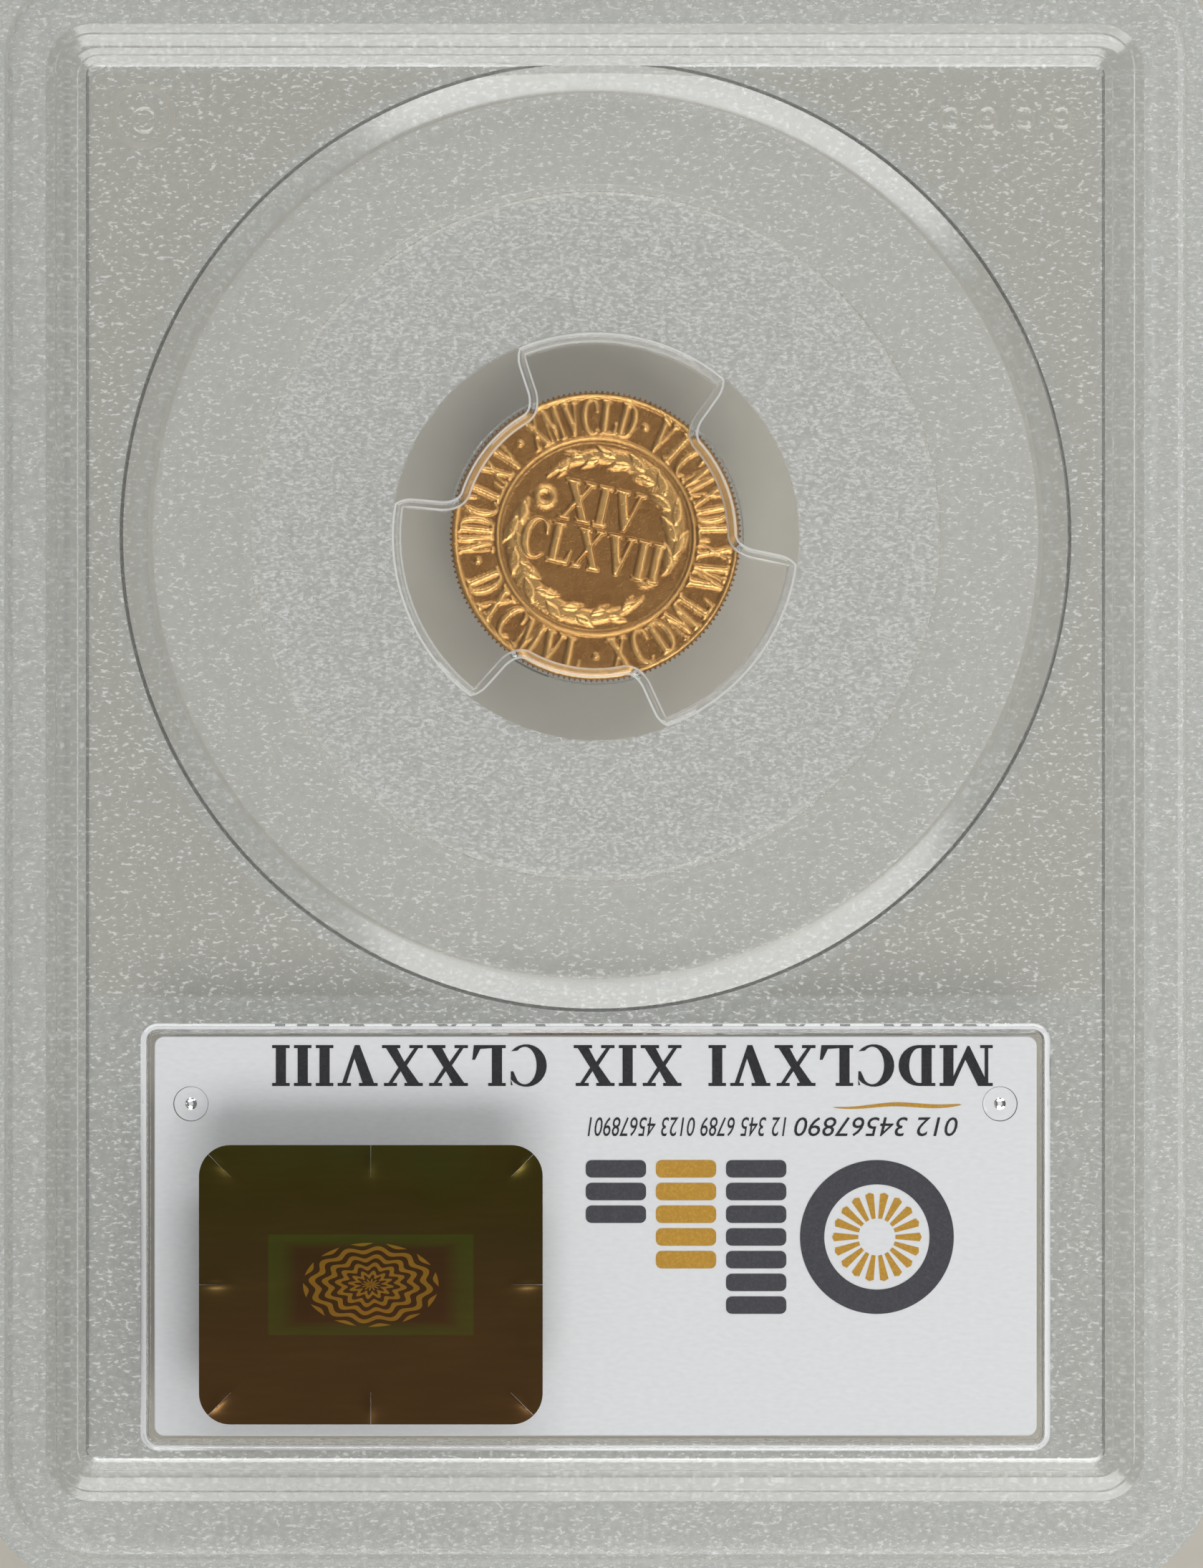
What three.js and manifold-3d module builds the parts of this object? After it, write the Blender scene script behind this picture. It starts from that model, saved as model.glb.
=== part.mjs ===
// Sealed two-part holder for one small coin, with its printed card and security seal.
// Millimetres, +Z up. The holder lies flat with its back face up, and its origin is the
// centre of its base. The card side of the holder points along -Y.
import * as THREE from 'three';
import { mergeVertices } from 'three/addons/utils/BufferGeometryUtils.js';
import Module from 'manifold-3d';

const wasm = await Module();
wasm.setup();

// ---- Driving dimensions -------------------------------------------------------------------
const THICKNESS = 8.0;
const PARTING_Z = THICKNESS / 2;
const SEAM = 0.03; // half of the hairline between the two shells

// Outlines of a shell half, as half width, half length and corner radius.
const FLANGE = { x: 31.8, y: 42.5, r: 6.6 };
const BORDER = { x: 30.3, y: 41.0, r: 5.0 };
const FIELD = { x: 25.95, y: 35.65, r: 0.5 };
const BACK_RIDGE = { outer: { x: 28.15, y: 37.8, r: 2.4 }, inner: { x: 26.3, y: 36.0, r: 0.6 } };
const FRONT_RIDGE = { outer: { x: 29.9, y: 40.3, r: 4.6 }, inner: { x: 28.6, y: 38.4, r: 2.9 } };

// Heights above the parting plane, the same for both halves.
const FLANGE_H = 1.4;
const FIELD_H = 2.6;
const BORDER_H = 3.4;
const RIDGE_H = THICKNESS / 2;
const SHOULDER = 0.5; // chamfer round the border's outer edge
const EDGE = 0.2; // chamfer on ridges and windows

// Round window over the coin, and what stands behind it.
const COIN_Y = 11.6;
const WINDOW_R = 24.4;
const DISH_R = 17.85;
const DISH_DEPTH = 0.12;
const CHAMBER_R = 17.8;
const CHAMBER_H = 1.5;
const COLLAR_R = 19.3;
const SKIRT_R = 22.7;
const HOLLOW_H = 1.1;

// Hollow corners of the plate round the window.
const CORNER_POCKET = { x: 24.6, low: -12.0, high: 34.6, clear: 24.9 };

// Card window and the chamber behind it.
const CARD_Y = -24.3;
const CARD_WINDOW = { x: 23.3, y: 10.95, r: 0.9 };
const CARD_CHAMBER = { x: 22.95, y: 10.5, r: 0.4 };
const BACK_CARD_H = 1.2;
const FRONT_CARD_H = 2.0;
const LEDGE = 1.3;
const LEDGE_H = 0.3;
const CARD = { x: 22.65, y: 10.25, thickness: 0.4, lift: 0.06 };
const PIN = { x: 20.75, y: -17.5, r: 0.9, gap: 0.1, dimple: 0.25 };

// Round mark and a row of dimples that the mould leaves on the back plate.
const MOULD_MARK = { x: -23.2, y: 33.1, r: 1.7, depth: 0.1 };
const DIMPLES = { x: 18.2, y: 33.0, pitch: 1.9, count: 4, r: 0.55, depth: 0.1 };

// Clear insert that grips the coin.
const INSERT = { r: 17.6, thickness: 2.8, opening: 9.95, edge: 0.3 };
const PRONG = { first: 21.3, count: 3, root: 30.2, side: 29.4, corner: 23.5, tipR: 6.75, sideR: 7.7 };
const GROOVE = { r: 7.62, height: 1.2 };

// Coin.
const COIN = { r: 7.5, rimR: 7.2, thickness: 1.04, fieldDrop: 0.14, ringR: 5.06, ringWidth: 0.2 };

// Foil seal on the card window.
const SEAL = { cx: -11.5, cy: -26.73, x: 8.8, y: 7.15, r: 1.6, thickness: 0.06, lift: 0.02 };
const SLIT = { length: 1.65, width: 0.08 };

const ROUND = 36; // half the number of sides of a full circle
const CORNER = 3; // half the number of steps in a corner

// ---- Materials ----------------------------------------------------------------------------
const clearPlastic = (roughness) => new THREE.MeshStandardMaterial({
  color: 0xc9ccc6, roughness, metalness: 0, transparent: true, opacity: 0.35,
});
const GOLD = new THREE.MeshStandardMaterial({ color: 0xb98a3e, roughness: 0.35, metalness: 1 });
const CARD_STOCK = new THREE.MeshStandardMaterial({ color: 0xe6e7e9, roughness: 0.8, metalness: 0 });
const FOIL = new THREE.MeshStandardMaterial({ color: 0x3d2a18, roughness: 0.3, metalness: 0.8 });

// ---- Solids -------------------------------------------------------------------------------
function solid(geometry) {
  const bare = geometry.index ? geometry : geometry.clone();
  bare.deleteAttribute('normal');
  bare.deleteAttribute('uv');
  const merged = mergeVertices(bare, 1e-4);
  return new wasm.Manifold(new wasm.Mesh({
    numProp: 3,
    vertProperties: new Float32Array(merged.attributes.position.array),
    triVerts: new Uint32Array(merged.index.array),
  }));
}

function geometryOf(body) {
  const { vertProperties, triVerts } = body.getMesh();
  const geometry = new THREE.BufferGeometry();
  geometry.setAttribute('position', new THREE.BufferAttribute(new Float32Array(vertProperties), 3));
  geometry.setIndex(new THREE.BufferAttribute(new Uint32Array(triVerts), 1));
  const faceted = geometry.toNonIndexed();
  faceted.computeVertexNormals();
  return faceted;
}

function roundedRect({ x, y, r }, cx = 0, cy = 0) {
  const shape = new THREE.Shape();
  const quarter = Math.PI / 2;
  shape.absarc(cx + x - r, cy + y - r, r, 0, quarter);
  shape.absarc(cx - x + r, cy + y - r, r, quarter, 2 * quarter);
  shape.absarc(cx - x + r, cy - y + r, r, 2 * quarter, 3 * quarter);
  shape.absarc(cx + x - r, cy - y + r, r, 3 * quarter, 4 * quarter);
  shape.closePath();
  return shape;
}

function disc(r, cx = 0, cy = 0) {
  const shape = new THREE.Shape();
  shape.absarc(cx, cy, r, 0, 2 * Math.PI);
  return shape;
}

// A prism between two heights. With an edge, its top and bottom rims are chamfered by that much.
function prism(shape, low, high, steps, edge = 0) {
  const geometry = new THREE.ExtrudeGeometry(shape, {
    depth: high - low - 2 * edge,
    curveSegments: steps,
    bevelEnabled: edge > 0,
    bevelThickness: edge,
    bevelSize: edge,
    bevelOffset: -edge,
    bevelSegments: 1,
  });
  geometry.translate(0, 0, low + edge);
  return solid(geometry);
}

const plate = (outline, low, high, edge = 0) => prism(roundedRect(outline), low, high, CORNER, edge);
const drum = (r, low, high, edge = 0) => prism(disc(r, 0, COIN_Y), low, high, ROUND, edge);
const cardBlock = (outline, low, high, edge = 0) => (
  prism(roundedRect(outline, 0, CARD_Y), low, high, CORNER, edge)
);

// ---- Shell halves -------------------------------------------------------------------------
// Outside of a half: flange, border, raised ridge, sunk field and the two raised windows.
function shellOutside(ridge) {
  const below = -2 * SHOULDER;
  const above = THICKNESS;
  const rim = plate(ridge.outer, FLANGE_H, RIDGE_H, EDGE)
    .subtract(plate(ridge.inner, BORDER_H, above));
  return plate(FLANGE, below, FLANGE_H)
    .add(plate(BORDER, below, BORDER_H, SHOULDER))
    .add(rim)
    .subtract(plate(FIELD, FIELD_H, above))
    .add(drum(WINDOW_R, 1, BORDER_H, EDGE))
    .subtract(drum(DISH_R, BORDER_H - DISH_DEPTH, above))
    .add(cardBlock(CARD_WINDOW, 1, BORDER_H, EDGE));
}

// Hollows that open at the parting plane: coin chamber, ring hollow and the four plate corners.
function shellHollows() {
  const below = -THICKNESS;
  const { x, low, high, clear } = CORNER_POCKET;
  const middle = (low + high) / 2;
  const corners = prism(roundedRect({ x, y: (high - low) / 2, r: 0.6 }, 0, middle), below, HOLLOW_H, CORNER)
    .subtract(drum(clear, 2 * below, THICKNESS));
  return drum(SKIRT_R, below, HOLLOW_H)
    .subtract(drum(COLLAR_R, 2 * below, THICKNESS))
    .add(drum(CHAMBER_R, below, CHAMBER_H))
    .add(corners);
}

function cutAtParting(body) {
  const big = { x: FLANGE.x + 5, y: FLANGE.y + 5, r: 1 };
  return body.subtract(plate(big, -THICKNESS, SEAM));
}

// Short pins that hold the card down, each with a dimple in its end.
function cardPins() {
  const tip = CARD.lift + CARD.thickness - LEDGE_H + PIN.gap;
  const pinAt = (x) => {
    const pin = prism(disc(PIN.r, x, PIN.y), tip, BACK_CARD_H + 0.2, 10);
    return pin.subtract(prism(disc(PIN.dimple, x, PIN.y), 0, tip + PIN.dimple, 6));
  };
  return pinAt(-PIN.x).add(pinAt(PIN.x));
}

function mouldMarks() {
  const { x, y, r, depth } = MOULD_MARK;
  let marks = prism(disc(r, x, y), FIELD_H - depth, THICKNESS, 12);
  for (let i = 0; i < DIMPLES.count; i += 1) {
    const at = disc(DIMPLES.r, DIMPLES.x + i * DIMPLES.pitch, DIMPLES.y);
    marks = marks.add(prism(at, FIELD_H - DIMPLES.depth, THICKNESS, 8));
  }
  return marks;
}

function backShell() {
  const body = shellOutside(BACK_RIDGE)
    .subtract(shellHollows())
    .subtract(cardBlock(CARD_CHAMBER, -THICKNESS, BACK_CARD_H))
    .subtract(mouldMarks())
    .add(cardPins());
  return cutAtParting(body);
}

// The front half is drawn face up and turned over: it has a ledge all round for the card.
function frontShell() {
  const inside = { x: CARD_CHAMBER.x - LEDGE, y: CARD_CHAMBER.y - LEDGE, r: CARD_CHAMBER.r };
  const body = shellOutside(FRONT_RIDGE)
    .subtract(shellHollows())
    .subtract(cardBlock(CARD_CHAMBER, -THICKNESS, LEDGE_H))
    .subtract(cardBlock(inside, -THICKNESS, FRONT_CARD_H));
  return cutAtParting(body);
}

// ---- Insert -------------------------------------------------------------------------------
// Outline of the insert's opening: open arcs between prongs whose sides run inwards to the coin.
function openingOutline() {
  const path = new THREE.Path();
  const step = 360 / PRONG.count;
  const radians = THREE.MathUtils.degToRad;
  const at = (radius, degrees) => [
    radius * Math.cos(radians(degrees)),
    COIN_Y + radius * Math.sin(radians(degrees)),
  ];
  for (let i = 0; i < PRONG.count; i += 1) {
    const middle = PRONG.first + i * step;
    const [near, far] = [middle - PRONG.side, middle + PRONG.side];
    const [tipStart, tipEnd] = [middle - PRONG.corner, middle + PRONG.corner];
    const [gapStart, gapEnd] = [middle + PRONG.root, middle + step - PRONG.root];
    if (i === 0) path.moveTo(...at(INSERT.opening, middle - PRONG.root));
    path.lineTo(...at(PRONG.sideR, near));
    path.quadraticCurveTo(...at(PRONG.tipR, near), ...at(PRONG.tipR, tipStart));
    path.absarc(0, COIN_Y, PRONG.tipR, radians(tipStart), radians(tipEnd), false);
    path.quadraticCurveTo(...at(PRONG.tipR, far), ...at(PRONG.sideR, far));
    path.lineTo(...at(INSERT.opening, gapStart));
    path.absarc(0, COIN_Y, INSERT.opening, radians(gapStart), radians(gapEnd), false);
  }
  return path;
}

function coinInsert() {
  const low = -INSERT.thickness / 2;
  const high = INSERT.thickness / 2;
  const outline = disc(INSERT.r, 0, COIN_Y);
  outline.holes.push(openingOutline());
  const ring = prism(outline, low, high, ROUND / 2, INSERT.edge);
  return ring.subtract(drum(GROOVE.r, -GROOVE.height / 2, GROOVE.height / 2));
}

// ---- Coin ---------------------------------------------------------------------------------
// Turned blank: milled edge, raised rim on both faces and one fine raised ring inside it.
function coinGeometry() {
  const half = COIN.thickness / 2;
  const fieldZ = half - COIN.fieldDrop;
  const crest = fieldZ + COIN.fieldDrop * 0.6;
  const face = [
    [0, fieldZ],
    [COIN.ringR - COIN.ringWidth, fieldZ],
    [COIN.ringR, crest],
    [COIN.ringR + COIN.ringWidth, fieldZ],
    [COIN.rimR - 0.1, fieldZ],
    [COIN.rimR, half],
    [COIN.r - 0.08, half],
    [COIN.r, half - 0.08],
  ];
  const profile = [
    ...face.map(([r, z]) => new THREE.Vector2(r, -z)),
    ...face.reverse().map(([r, z]) => new THREE.Vector2(r, z)),
  ];
  const blank = new THREE.LatheGeometry(profile, 2 * ROUND);
  blank.rotateX(Math.PI / 2);
  return blank;
}

// ---- Card and seal ------------------------------------------------------------------------
function cardGeometry() {
  return new THREE.BoxGeometry(2 * CARD.x, 2 * CARD.y, CARD.thickness);
}

// A foil patch with short radial slits round its edge, so that it tears when it is lifted.
function securitySeal() {
  const { x, y, r, thickness } = SEAL;
  let foil = prism(roundedRect({ x, y, r }), 0, thickness, CORNER);
  const inset = (r - r / Math.SQRT2);
  const slits = [
    [x, 0, 0], [-x, 0, 180], [0, y, 90], [0, -y, 270],
    [x - inset, y - inset, 45], [inset - x, y - inset, 135],
    [inset - x, inset - y, 225], [x - inset, inset - y, 315],
  ];
  for (const [sx, sy, degrees] of slits) {
    const cutter = new THREE.BoxGeometry(2 * SLIT.length, SLIT.width, 4 * thickness);
    cutter.rotateZ(THREE.MathUtils.degToRad(degrees));
    cutter.translate(sx, sy, 0);
    foil = foil.subtract(solid(cutter));
  }
  return foil;
}

// ---- Assembly -----------------------------------------------------------------------------
function named(name, geometry, material) {
  const mesh = new THREE.Mesh(geometry, material);
  mesh.name = name;
  return mesh;
}

const group = new THREE.Group();
const holder = new THREE.Group();
holder.position.z = PARTING_Z;
group.add(holder);

const back = named('back_shell', geometryOf(backShell()), clearPlastic(0.15));
holder.add(back);

const front = named('front_shell', geometryOf(frontShell()), clearPlastic(0.15));
front.rotation.y = Math.PI;
holder.add(front);

const insert = named('coin_insert', geometryOf(coinInsert()), clearPlastic(0.25));
holder.add(insert);

const coin = named('coin', geometryOf(solid(coinGeometry())), GOLD);
coin.position.y = COIN_Y;
holder.add(coin);

const card = named('label_card', cardGeometry(), CARD_STOCK);
card.position.set(0, CARD_Y, CARD.thickness / 2 - LEDGE_H + CARD.lift);
holder.add(card);

const seal = named('security_seal', geometryOf(securitySeal()), FOIL);
seal.position.set(SEAL.cx, SEAL.cy, BORDER_H + SEAL.lift);
holder.add(seal);

export default group;
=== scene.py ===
"""Looks of a sealed clear holder for one small coin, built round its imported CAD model.

The holder lies flat with its back face up. Sizes are in millimetres in the holder's own
frame until a mesh is finished, and then in metres. Heights called h are measured from the
parting plane between the two shells, outwards.
"""

import logging
import math
from dataclasses import dataclass, field
from enum import Enum
from typing import Iterable, Sequence

import bmesh
import bpy
import numpy as np
from mathutils import Matrix, Vector


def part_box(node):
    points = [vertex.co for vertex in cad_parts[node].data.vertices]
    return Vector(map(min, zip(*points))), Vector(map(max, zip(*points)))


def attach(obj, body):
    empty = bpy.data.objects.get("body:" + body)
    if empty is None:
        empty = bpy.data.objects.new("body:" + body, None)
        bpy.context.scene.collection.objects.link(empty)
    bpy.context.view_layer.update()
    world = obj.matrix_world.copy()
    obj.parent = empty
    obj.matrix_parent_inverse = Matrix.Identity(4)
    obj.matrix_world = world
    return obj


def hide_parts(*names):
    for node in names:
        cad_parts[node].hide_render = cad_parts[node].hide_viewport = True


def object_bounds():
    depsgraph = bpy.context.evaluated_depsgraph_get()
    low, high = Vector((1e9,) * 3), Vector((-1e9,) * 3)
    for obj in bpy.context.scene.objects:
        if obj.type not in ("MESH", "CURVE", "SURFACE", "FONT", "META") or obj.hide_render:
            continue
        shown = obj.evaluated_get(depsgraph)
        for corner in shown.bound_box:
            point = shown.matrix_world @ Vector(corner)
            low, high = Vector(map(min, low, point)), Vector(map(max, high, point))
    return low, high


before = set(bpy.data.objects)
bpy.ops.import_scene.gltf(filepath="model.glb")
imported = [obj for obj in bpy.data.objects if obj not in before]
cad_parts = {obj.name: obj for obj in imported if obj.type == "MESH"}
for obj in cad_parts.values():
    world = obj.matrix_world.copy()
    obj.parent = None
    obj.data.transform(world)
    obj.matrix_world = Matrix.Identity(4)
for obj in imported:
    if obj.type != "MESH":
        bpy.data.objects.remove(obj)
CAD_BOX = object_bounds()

LOG = logging.getLogger("coin_holder")
MM = 0.001
BODY = "root"
Point2 = tuple[float, float]
Loops = Sequence[Sequence[Point2]]
Colour = tuple[float, float, float]
Glyph = tuple[float, list[list[Point2]]]
Socket = bpy.types.NodeSocket
Node = bpy.types.Node
Material = bpy.types.Material
Mesh = bpy.types.Mesh
Piece = bpy.types.Object


def corners_mm(node: str) -> tuple[Vector, Vector]:
    """Lowest and highest corner of a CAD node, in millimetres."""
    low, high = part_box(node)
    return low / MM, high / MM


def centre_mm(node: str) -> Vector:
    """Middle of a CAD node's box, in millimetres."""
    low, high = corners_mm(node)
    return (low + high) / 2


THICKNESS = (CAD_BOX[1].z - CAD_BOX[0].z) / MM
PARTING = THICKNESS / 2
ABOVE_SHELL = 4.6
BELOW_SHELL = -3.0


# ---------------------------------------------------------------------------------------
# Node helpers
# ---------------------------------------------------------------------------------------
class ShaderTree:
    """A material's node tree, with short calls for the nodes that the finishes share."""

    def __init__(self, name: str) -> None:
        """Starts an empty tree.

        Args:
            name: The material's name.
        """
        self.material = bpy.data.materials.new(name)
        self.material.use_nodes = True
        self.tree = self.material.node_tree
        self.tree.nodes.clear()
        self.output = self.add("ShaderNodeOutputMaterial")

    def add(self, kind: str, **settings: object) -> Node:
        """Adds one node.

        Args:
            kind: The node's type name.
            settings: Properties set on the node.

        Returns:
            The new node.
        """
        node = self.tree.nodes.new(kind)
        for name, value in settings.items():
            setattr(node, name, value)
        return node

    def link(self, source: Socket, target: Socket) -> None:
        """Joins an output to an input."""
        self.tree.links.new(source, target)

    def place(self, scale: Sequence[float], shift: Sequence[float] = (0, 0, 0)) -> Socket:
        """Object coordinates, shifted and scaled.

        Args:
            scale: Repeats per metre along each axis.
            shift: Offset after scaling.

        Returns:
            The vector output.
        """
        coordinates = self.add("ShaderNodeTexCoord")
        mapping = self.add("ShaderNodeMapping")
        mapping.inputs["Scale"].default_value = scale
        mapping.inputs["Location"].default_value = shift
        self.link(coordinates.outputs["Object"], mapping.inputs["Vector"])
        return mapping.outputs["Vector"]

    def noise(self, vector: Socket, detail: float = 2.0, scale: float = 1.0) -> Socket:
        """Fractal noise from 0 to 1.

        Args:
            vector: Where the noise is read.
            detail: Number of finer layers.
            scale: Repeats per unit of the vector.

        Returns:
            The value output.
        """
        node = self.add("ShaderNodeTexNoise")
        node.inputs["Detail"].default_value = detail
        node.inputs["Scale"].default_value = scale
        self.link(vector, node.inputs["Vector"])
        return node.outputs["Fac"]

    def ramp(self, value: Socket, stops: Sequence[tuple[float, Colour]]) -> Socket:
        """Colours a value.

        Args:
            value: The driving value.
            stops: Pairs of position and colour, in order.

        Returns:
            The colour output.
        """
        node = self.add("ShaderNodeValToRGB")
        elements = node.color_ramp.elements
        while len(elements) < len(stops):
            elements.new(0.5)
        for element, (position, colour) in zip(elements, stops):
            element.position = position
            element.color = (*colour, 1.0)
        self.link(value, node.inputs["Fac"])
        return node.outputs["Color"]

    def spread(self, value: Socket, source: Point2, target: Point2) -> Socket:
        """Maps a value from one range to another, and holds it there.

        Args:
            value: The driving value.
            source: Range that the value comes from.
            target: Range that it is mapped to.

        Returns:
            The mapped value.
        """
        node = self.add("ShaderNodeMapRange")
        for name, number in zip(("From Min", "From Max", "To Min", "To Max"), (*source, *target)):
            node.inputs[name].default_value = number
        self.link(value, node.inputs["Value"])
        return node.outputs["Result"]

    def math(self, operation: str, first: object, second: object = 0.0) -> Socket:
        """One arithmetic step.

        Args:
            operation: The Math node's operation.
            first: A socket or a plain number.
            second: Another, where the operation has two.

        Returns:
            The result.
        """
        node = self.add("ShaderNodeMath", operation=operation)
        for socket, value in zip(node.inputs, (first, second)):
            if isinstance(value, Socket):
                self.link(value, socket)
            else:
                socket.default_value = value
        return node.outputs["Value"]

    def bump(self, height: Socket, depth_mm: float, below: Socket | None = None) -> Socket:
        """Turns a height into a bent normal.

        Args:
            height: Height from 0 to 1.
            depth_mm: What a height of 1 stands for.
            below: A normal that this one is laid over.

        Returns:
            The normal output.
        """
        node = self.add("ShaderNodeBump")
        node.inputs["Strength"].default_value = 1.0
        node.inputs["Distance"].default_value = depth_mm * MM
        self.link(height, node.inputs["Height"])
        if below is not None:
            self.link(below, node.inputs["Normal"])
        return node.outputs["Normal"]

    def principled(self, **values: object) -> Node:
        """A Principled shader, wired to the output.

        Args:
            values: Socket names in lower case, with the values set on them.

        Returns:
            The shader node.
        """
        node = self.add("ShaderNodeBsdfPrincipled")
        for name, value in values.items():
            socket = node.inputs[name.replace("_", " ").title().replace("Ior", "IOR")]
            socket.default_value = (*value, 1.0) if isinstance(value, tuple) else value
        self.link(node.outputs["BSDF"], self.output.inputs["Surface"])
        return node


# ---------------------------------------------------------------------------------------
# Finishes
# ---------------------------------------------------------------------------------------
@dataclass(frozen=True)
class ClearPlastic:
    """Clear moulded plastic, polished or pebbled.

    A share of the light is scattered, which makes pebbled skin paler than polished skin.

    Attributes:
        name: The material's name.
        roughness: Roughness of the surface.
        clarity: Share of the light that passes, where no pebble scatters it.
        pebble_mm: Distance between pebbles.
        depth_mm: Height of the pebbles.
        sparkle: How much less passes on a pebble, and how much paler the pebbles are painted as glints.
        tint: Colour of the plastic.
        specks: Noise values between which a pebble is painted white as a glint.
        passed: Share of a lamp's light that a wall lets through.
        ior: Index of refraction.
    """

    name: str
    roughness: float
    clarity: float
    pebble_mm: float
    depth_mm: float
    sparkle: float = 0.0
    tint: Colour = (0.99, 0.995, 0.985)
    specks: Point2 = (0.6, 0.7)
    passed: float = 0.999
    ior: float = 1.5

    def build(self) -> Material:
        """Makes the material.

        Returns:
            A refractive material that lets lamps through.
        """
        tree = ShaderTree(self.name)
        shader = tree.principled(
            base_color=self.tint,
            roughness=self.roughness,
            transmission_weight=self.clarity,
            ior=self.ior,
        )
        per_metre = 1 / (self.pebble_mm * MM)
        pebbles = tree.noise(tree.place((0.55 * per_metre, per_metre, per_metre)), 2.5)
        if self.sparkle:
            clarity = tree.spread(pebbles, self.specks, (self.clarity, self.clarity - self.sparkle))
            tree.link(clarity, shader.inputs["Transmission Weight"])
            # Pebbles are painted paler as glints of the lamps, and darker in the lows of the noise.
            dull = tuple(c * (1 - 0.35 * self.sparkle) for c in self.tint)
            painted_glint = tuple(c + (1 - c) * min(1.0, 2 * self.sparkle) for c in self.tint)
            stops = [(0.32, dull), (0.42, self.tint), (self.specks[0], self.tint), (self.specks[1], painted_glint)]
            tree.link(tree.ramp(pebbles, stops), shader.inputs["Base Color"])
        waves = tree.noise(tree.place((220, 260, 240)), 1.0)
        normal = tree.bump(pebbles, self.depth_mm, tree.bump(waves, 0.004))
        tree.link(normal, shader.inputs["Normal"])
        self.let_lamps_through(tree, shader)
        return tree.material

    def let_lamps_through(self, tree: ShaderTree, shader: Node) -> None:
        """Lets shadow and diffuse rays pass straight, less what the wall takes away.

        Args:
            tree: The material's tree.
            shader: The plastic's own shader.
        """
        light = tree.add("ShaderNodeLightPath")
        through = tree.math("MAXIMUM", light.outputs["Is Shadow Ray"], light.outputs["Is Diffuse Ray"])
        clear = tree.add("ShaderNodeBsdfTransparent")
        clear.inputs["Color"].default_value = (self.passed, self.passed, self.passed, 1)
        mix = tree.add("ShaderNodeMixShader")
        tree.link(through, mix.inputs["Fac"])
        tree.link(shader.outputs["BSDF"], mix.inputs[1])
        tree.link(clear.outputs["BSDF"], mix.inputs[2])
        tree.link(mix.outputs["Shader"], tree.output.inputs["Surface"])


POLISHED = ClearPlastic("polished_plastic", roughness=0.02, clarity=1.0, pebble_mm=0.4, depth_mm=0.0004)
EDGE_CLEAR = ClearPlastic("edge_plastic", roughness=0.15, clarity=0.97, pebble_mm=0.4, depth_mm=0.0008,
                          tint=(0.75, 0.76, 0.74), ior=1.62)
# Near-black plastic painted as a dark shade line at the foot of the window's rim and on the field's side
# walls.
SEAM = ClearPlastic("shade_line_plastic", roughness=0.1, clarity=0.97, pebble_mm=0.4, depth_mm=0.03,
                    tint=(0.10, 0.10, 0.10))
PEBBLED = ClearPlastic("pebbled_plastic", roughness=0.24, clarity=0.78, pebble_mm=0.16, depth_mm=0.026,
                       sparkle=0.3, tint=(0.585, 0.6, 0.575), specks=(0.56, 0.66))
RIM_SKIN = ClearPlastic("rim_plastic", roughness=0.2, clarity=0.78, pebble_mm=0.15, depth_mm=0.02,
                        sparkle=0.27, tint=(0.74, 0.755, 0.735), specks=(0.56, 0.66))
UNDERSIDE_SKIN = ClearPlastic("underside_plastic", roughness=0.25, clarity=0.86, pebble_mm=0.19,
                              depth_mm=0.02, sparkle=0.06, tint=(0.85, 0.86, 0.84))
FROSTED = ClearPlastic("frosted_plastic", roughness=0.3, clarity=0.78, pebble_mm=0.15, depth_mm=0.014,
                       sparkle=0.2, tint=(0.64, 0.65, 0.64), specks=(0.5, 0.62))
INSERT_CLEAR = ClearPlastic("insert_plastic", roughness=0.03, clarity=0.985, pebble_mm=0.9, depth_mm=0.002)
FINE_FROST = ClearPlastic("fine_frost", roughness=0.14, clarity=0.93, pebble_mm=0.13, depth_mm=0.010,
                          sparkle=0.26, tint=(0.93, 0.94, 0.92), specks=(0.5, 0.62))
# Milky white plastic painted as bright highlight lines along bands of the prongs' upper lips.
LIP_HIGHLIGHT = ClearPlastic("lip_highlight_plastic", roughness=0.12, clarity=0.4, pebble_mm=0.5, depth_mm=0.004,
                        tint=(0.93, 0.94, 0.93))
CLEAR: dict[ClearPlastic, Material] = {}


@dataclass(frozen=True)
class StruckGold:
    """Satin struck gold, duller in the hollows of the relief, with painted shade in the hollows and a painted
    highlight on the crests.
    """

    name: str = "struck_gold"
    # The hollow colour is painted shade and the crest colour a painted highlight, laid on by relief height.
    hollow: Colour = (0.265, 0.124, 0.036)
    lit_crest: Colour = (0.84, 0.50, 0.18)

    def build(self) -> Material:
        """Makes the material, which reads the relief attribute of the coin's mesh.

        Returns:
            The material.
        """
        tree = ShaderTree(self.name)
        shader = tree.principled(metallic=1.0, roughness=0.36)
        relief = tree.add("ShaderNodeAttribute", attribute_name="relief").outputs["Fac"]
        cloud = tree.noise(tree.place((900, 900, 900)), 4.0)
        # Colour by relief height paints shade into the hollows and highlight onto the crests; the cloud noise
        # adds random tone.
        relief_shade_and_tone = tree.math("ADD", tree.math("MULTIPLY", relief, 0.8), tree.math("MULTIPLY", cloud, 0.28))
        middle = tuple((a + b) / 2 for a, b in zip(self.hollow, self.lit_crest))
        colour = tree.ramp(relief_shade_and_tone, [(0.08, self.hollow), (0.42, middle), (0.85, self.lit_crest)])
        tree.link(colour, shader.inputs["Base Color"])
        rough = tree.math("SUBTRACT", 0.38, tree.math("MULTIPLY", relief_shade_and_tone, 0.12))
        tree.link(rough, shader.inputs["Roughness"])
        grain = tree.noise(tree.place((11000, 11000, 11000)), 3.0)
        pits = tree.noise(tree.place((3200, 3200, 3200)), 2.0)
        normal = tree.bump(pits, 0.034)
        tree.link(tree.bump(grain, 0.022, normal), shader.inputs["Normal"])
        return tree.material


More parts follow.
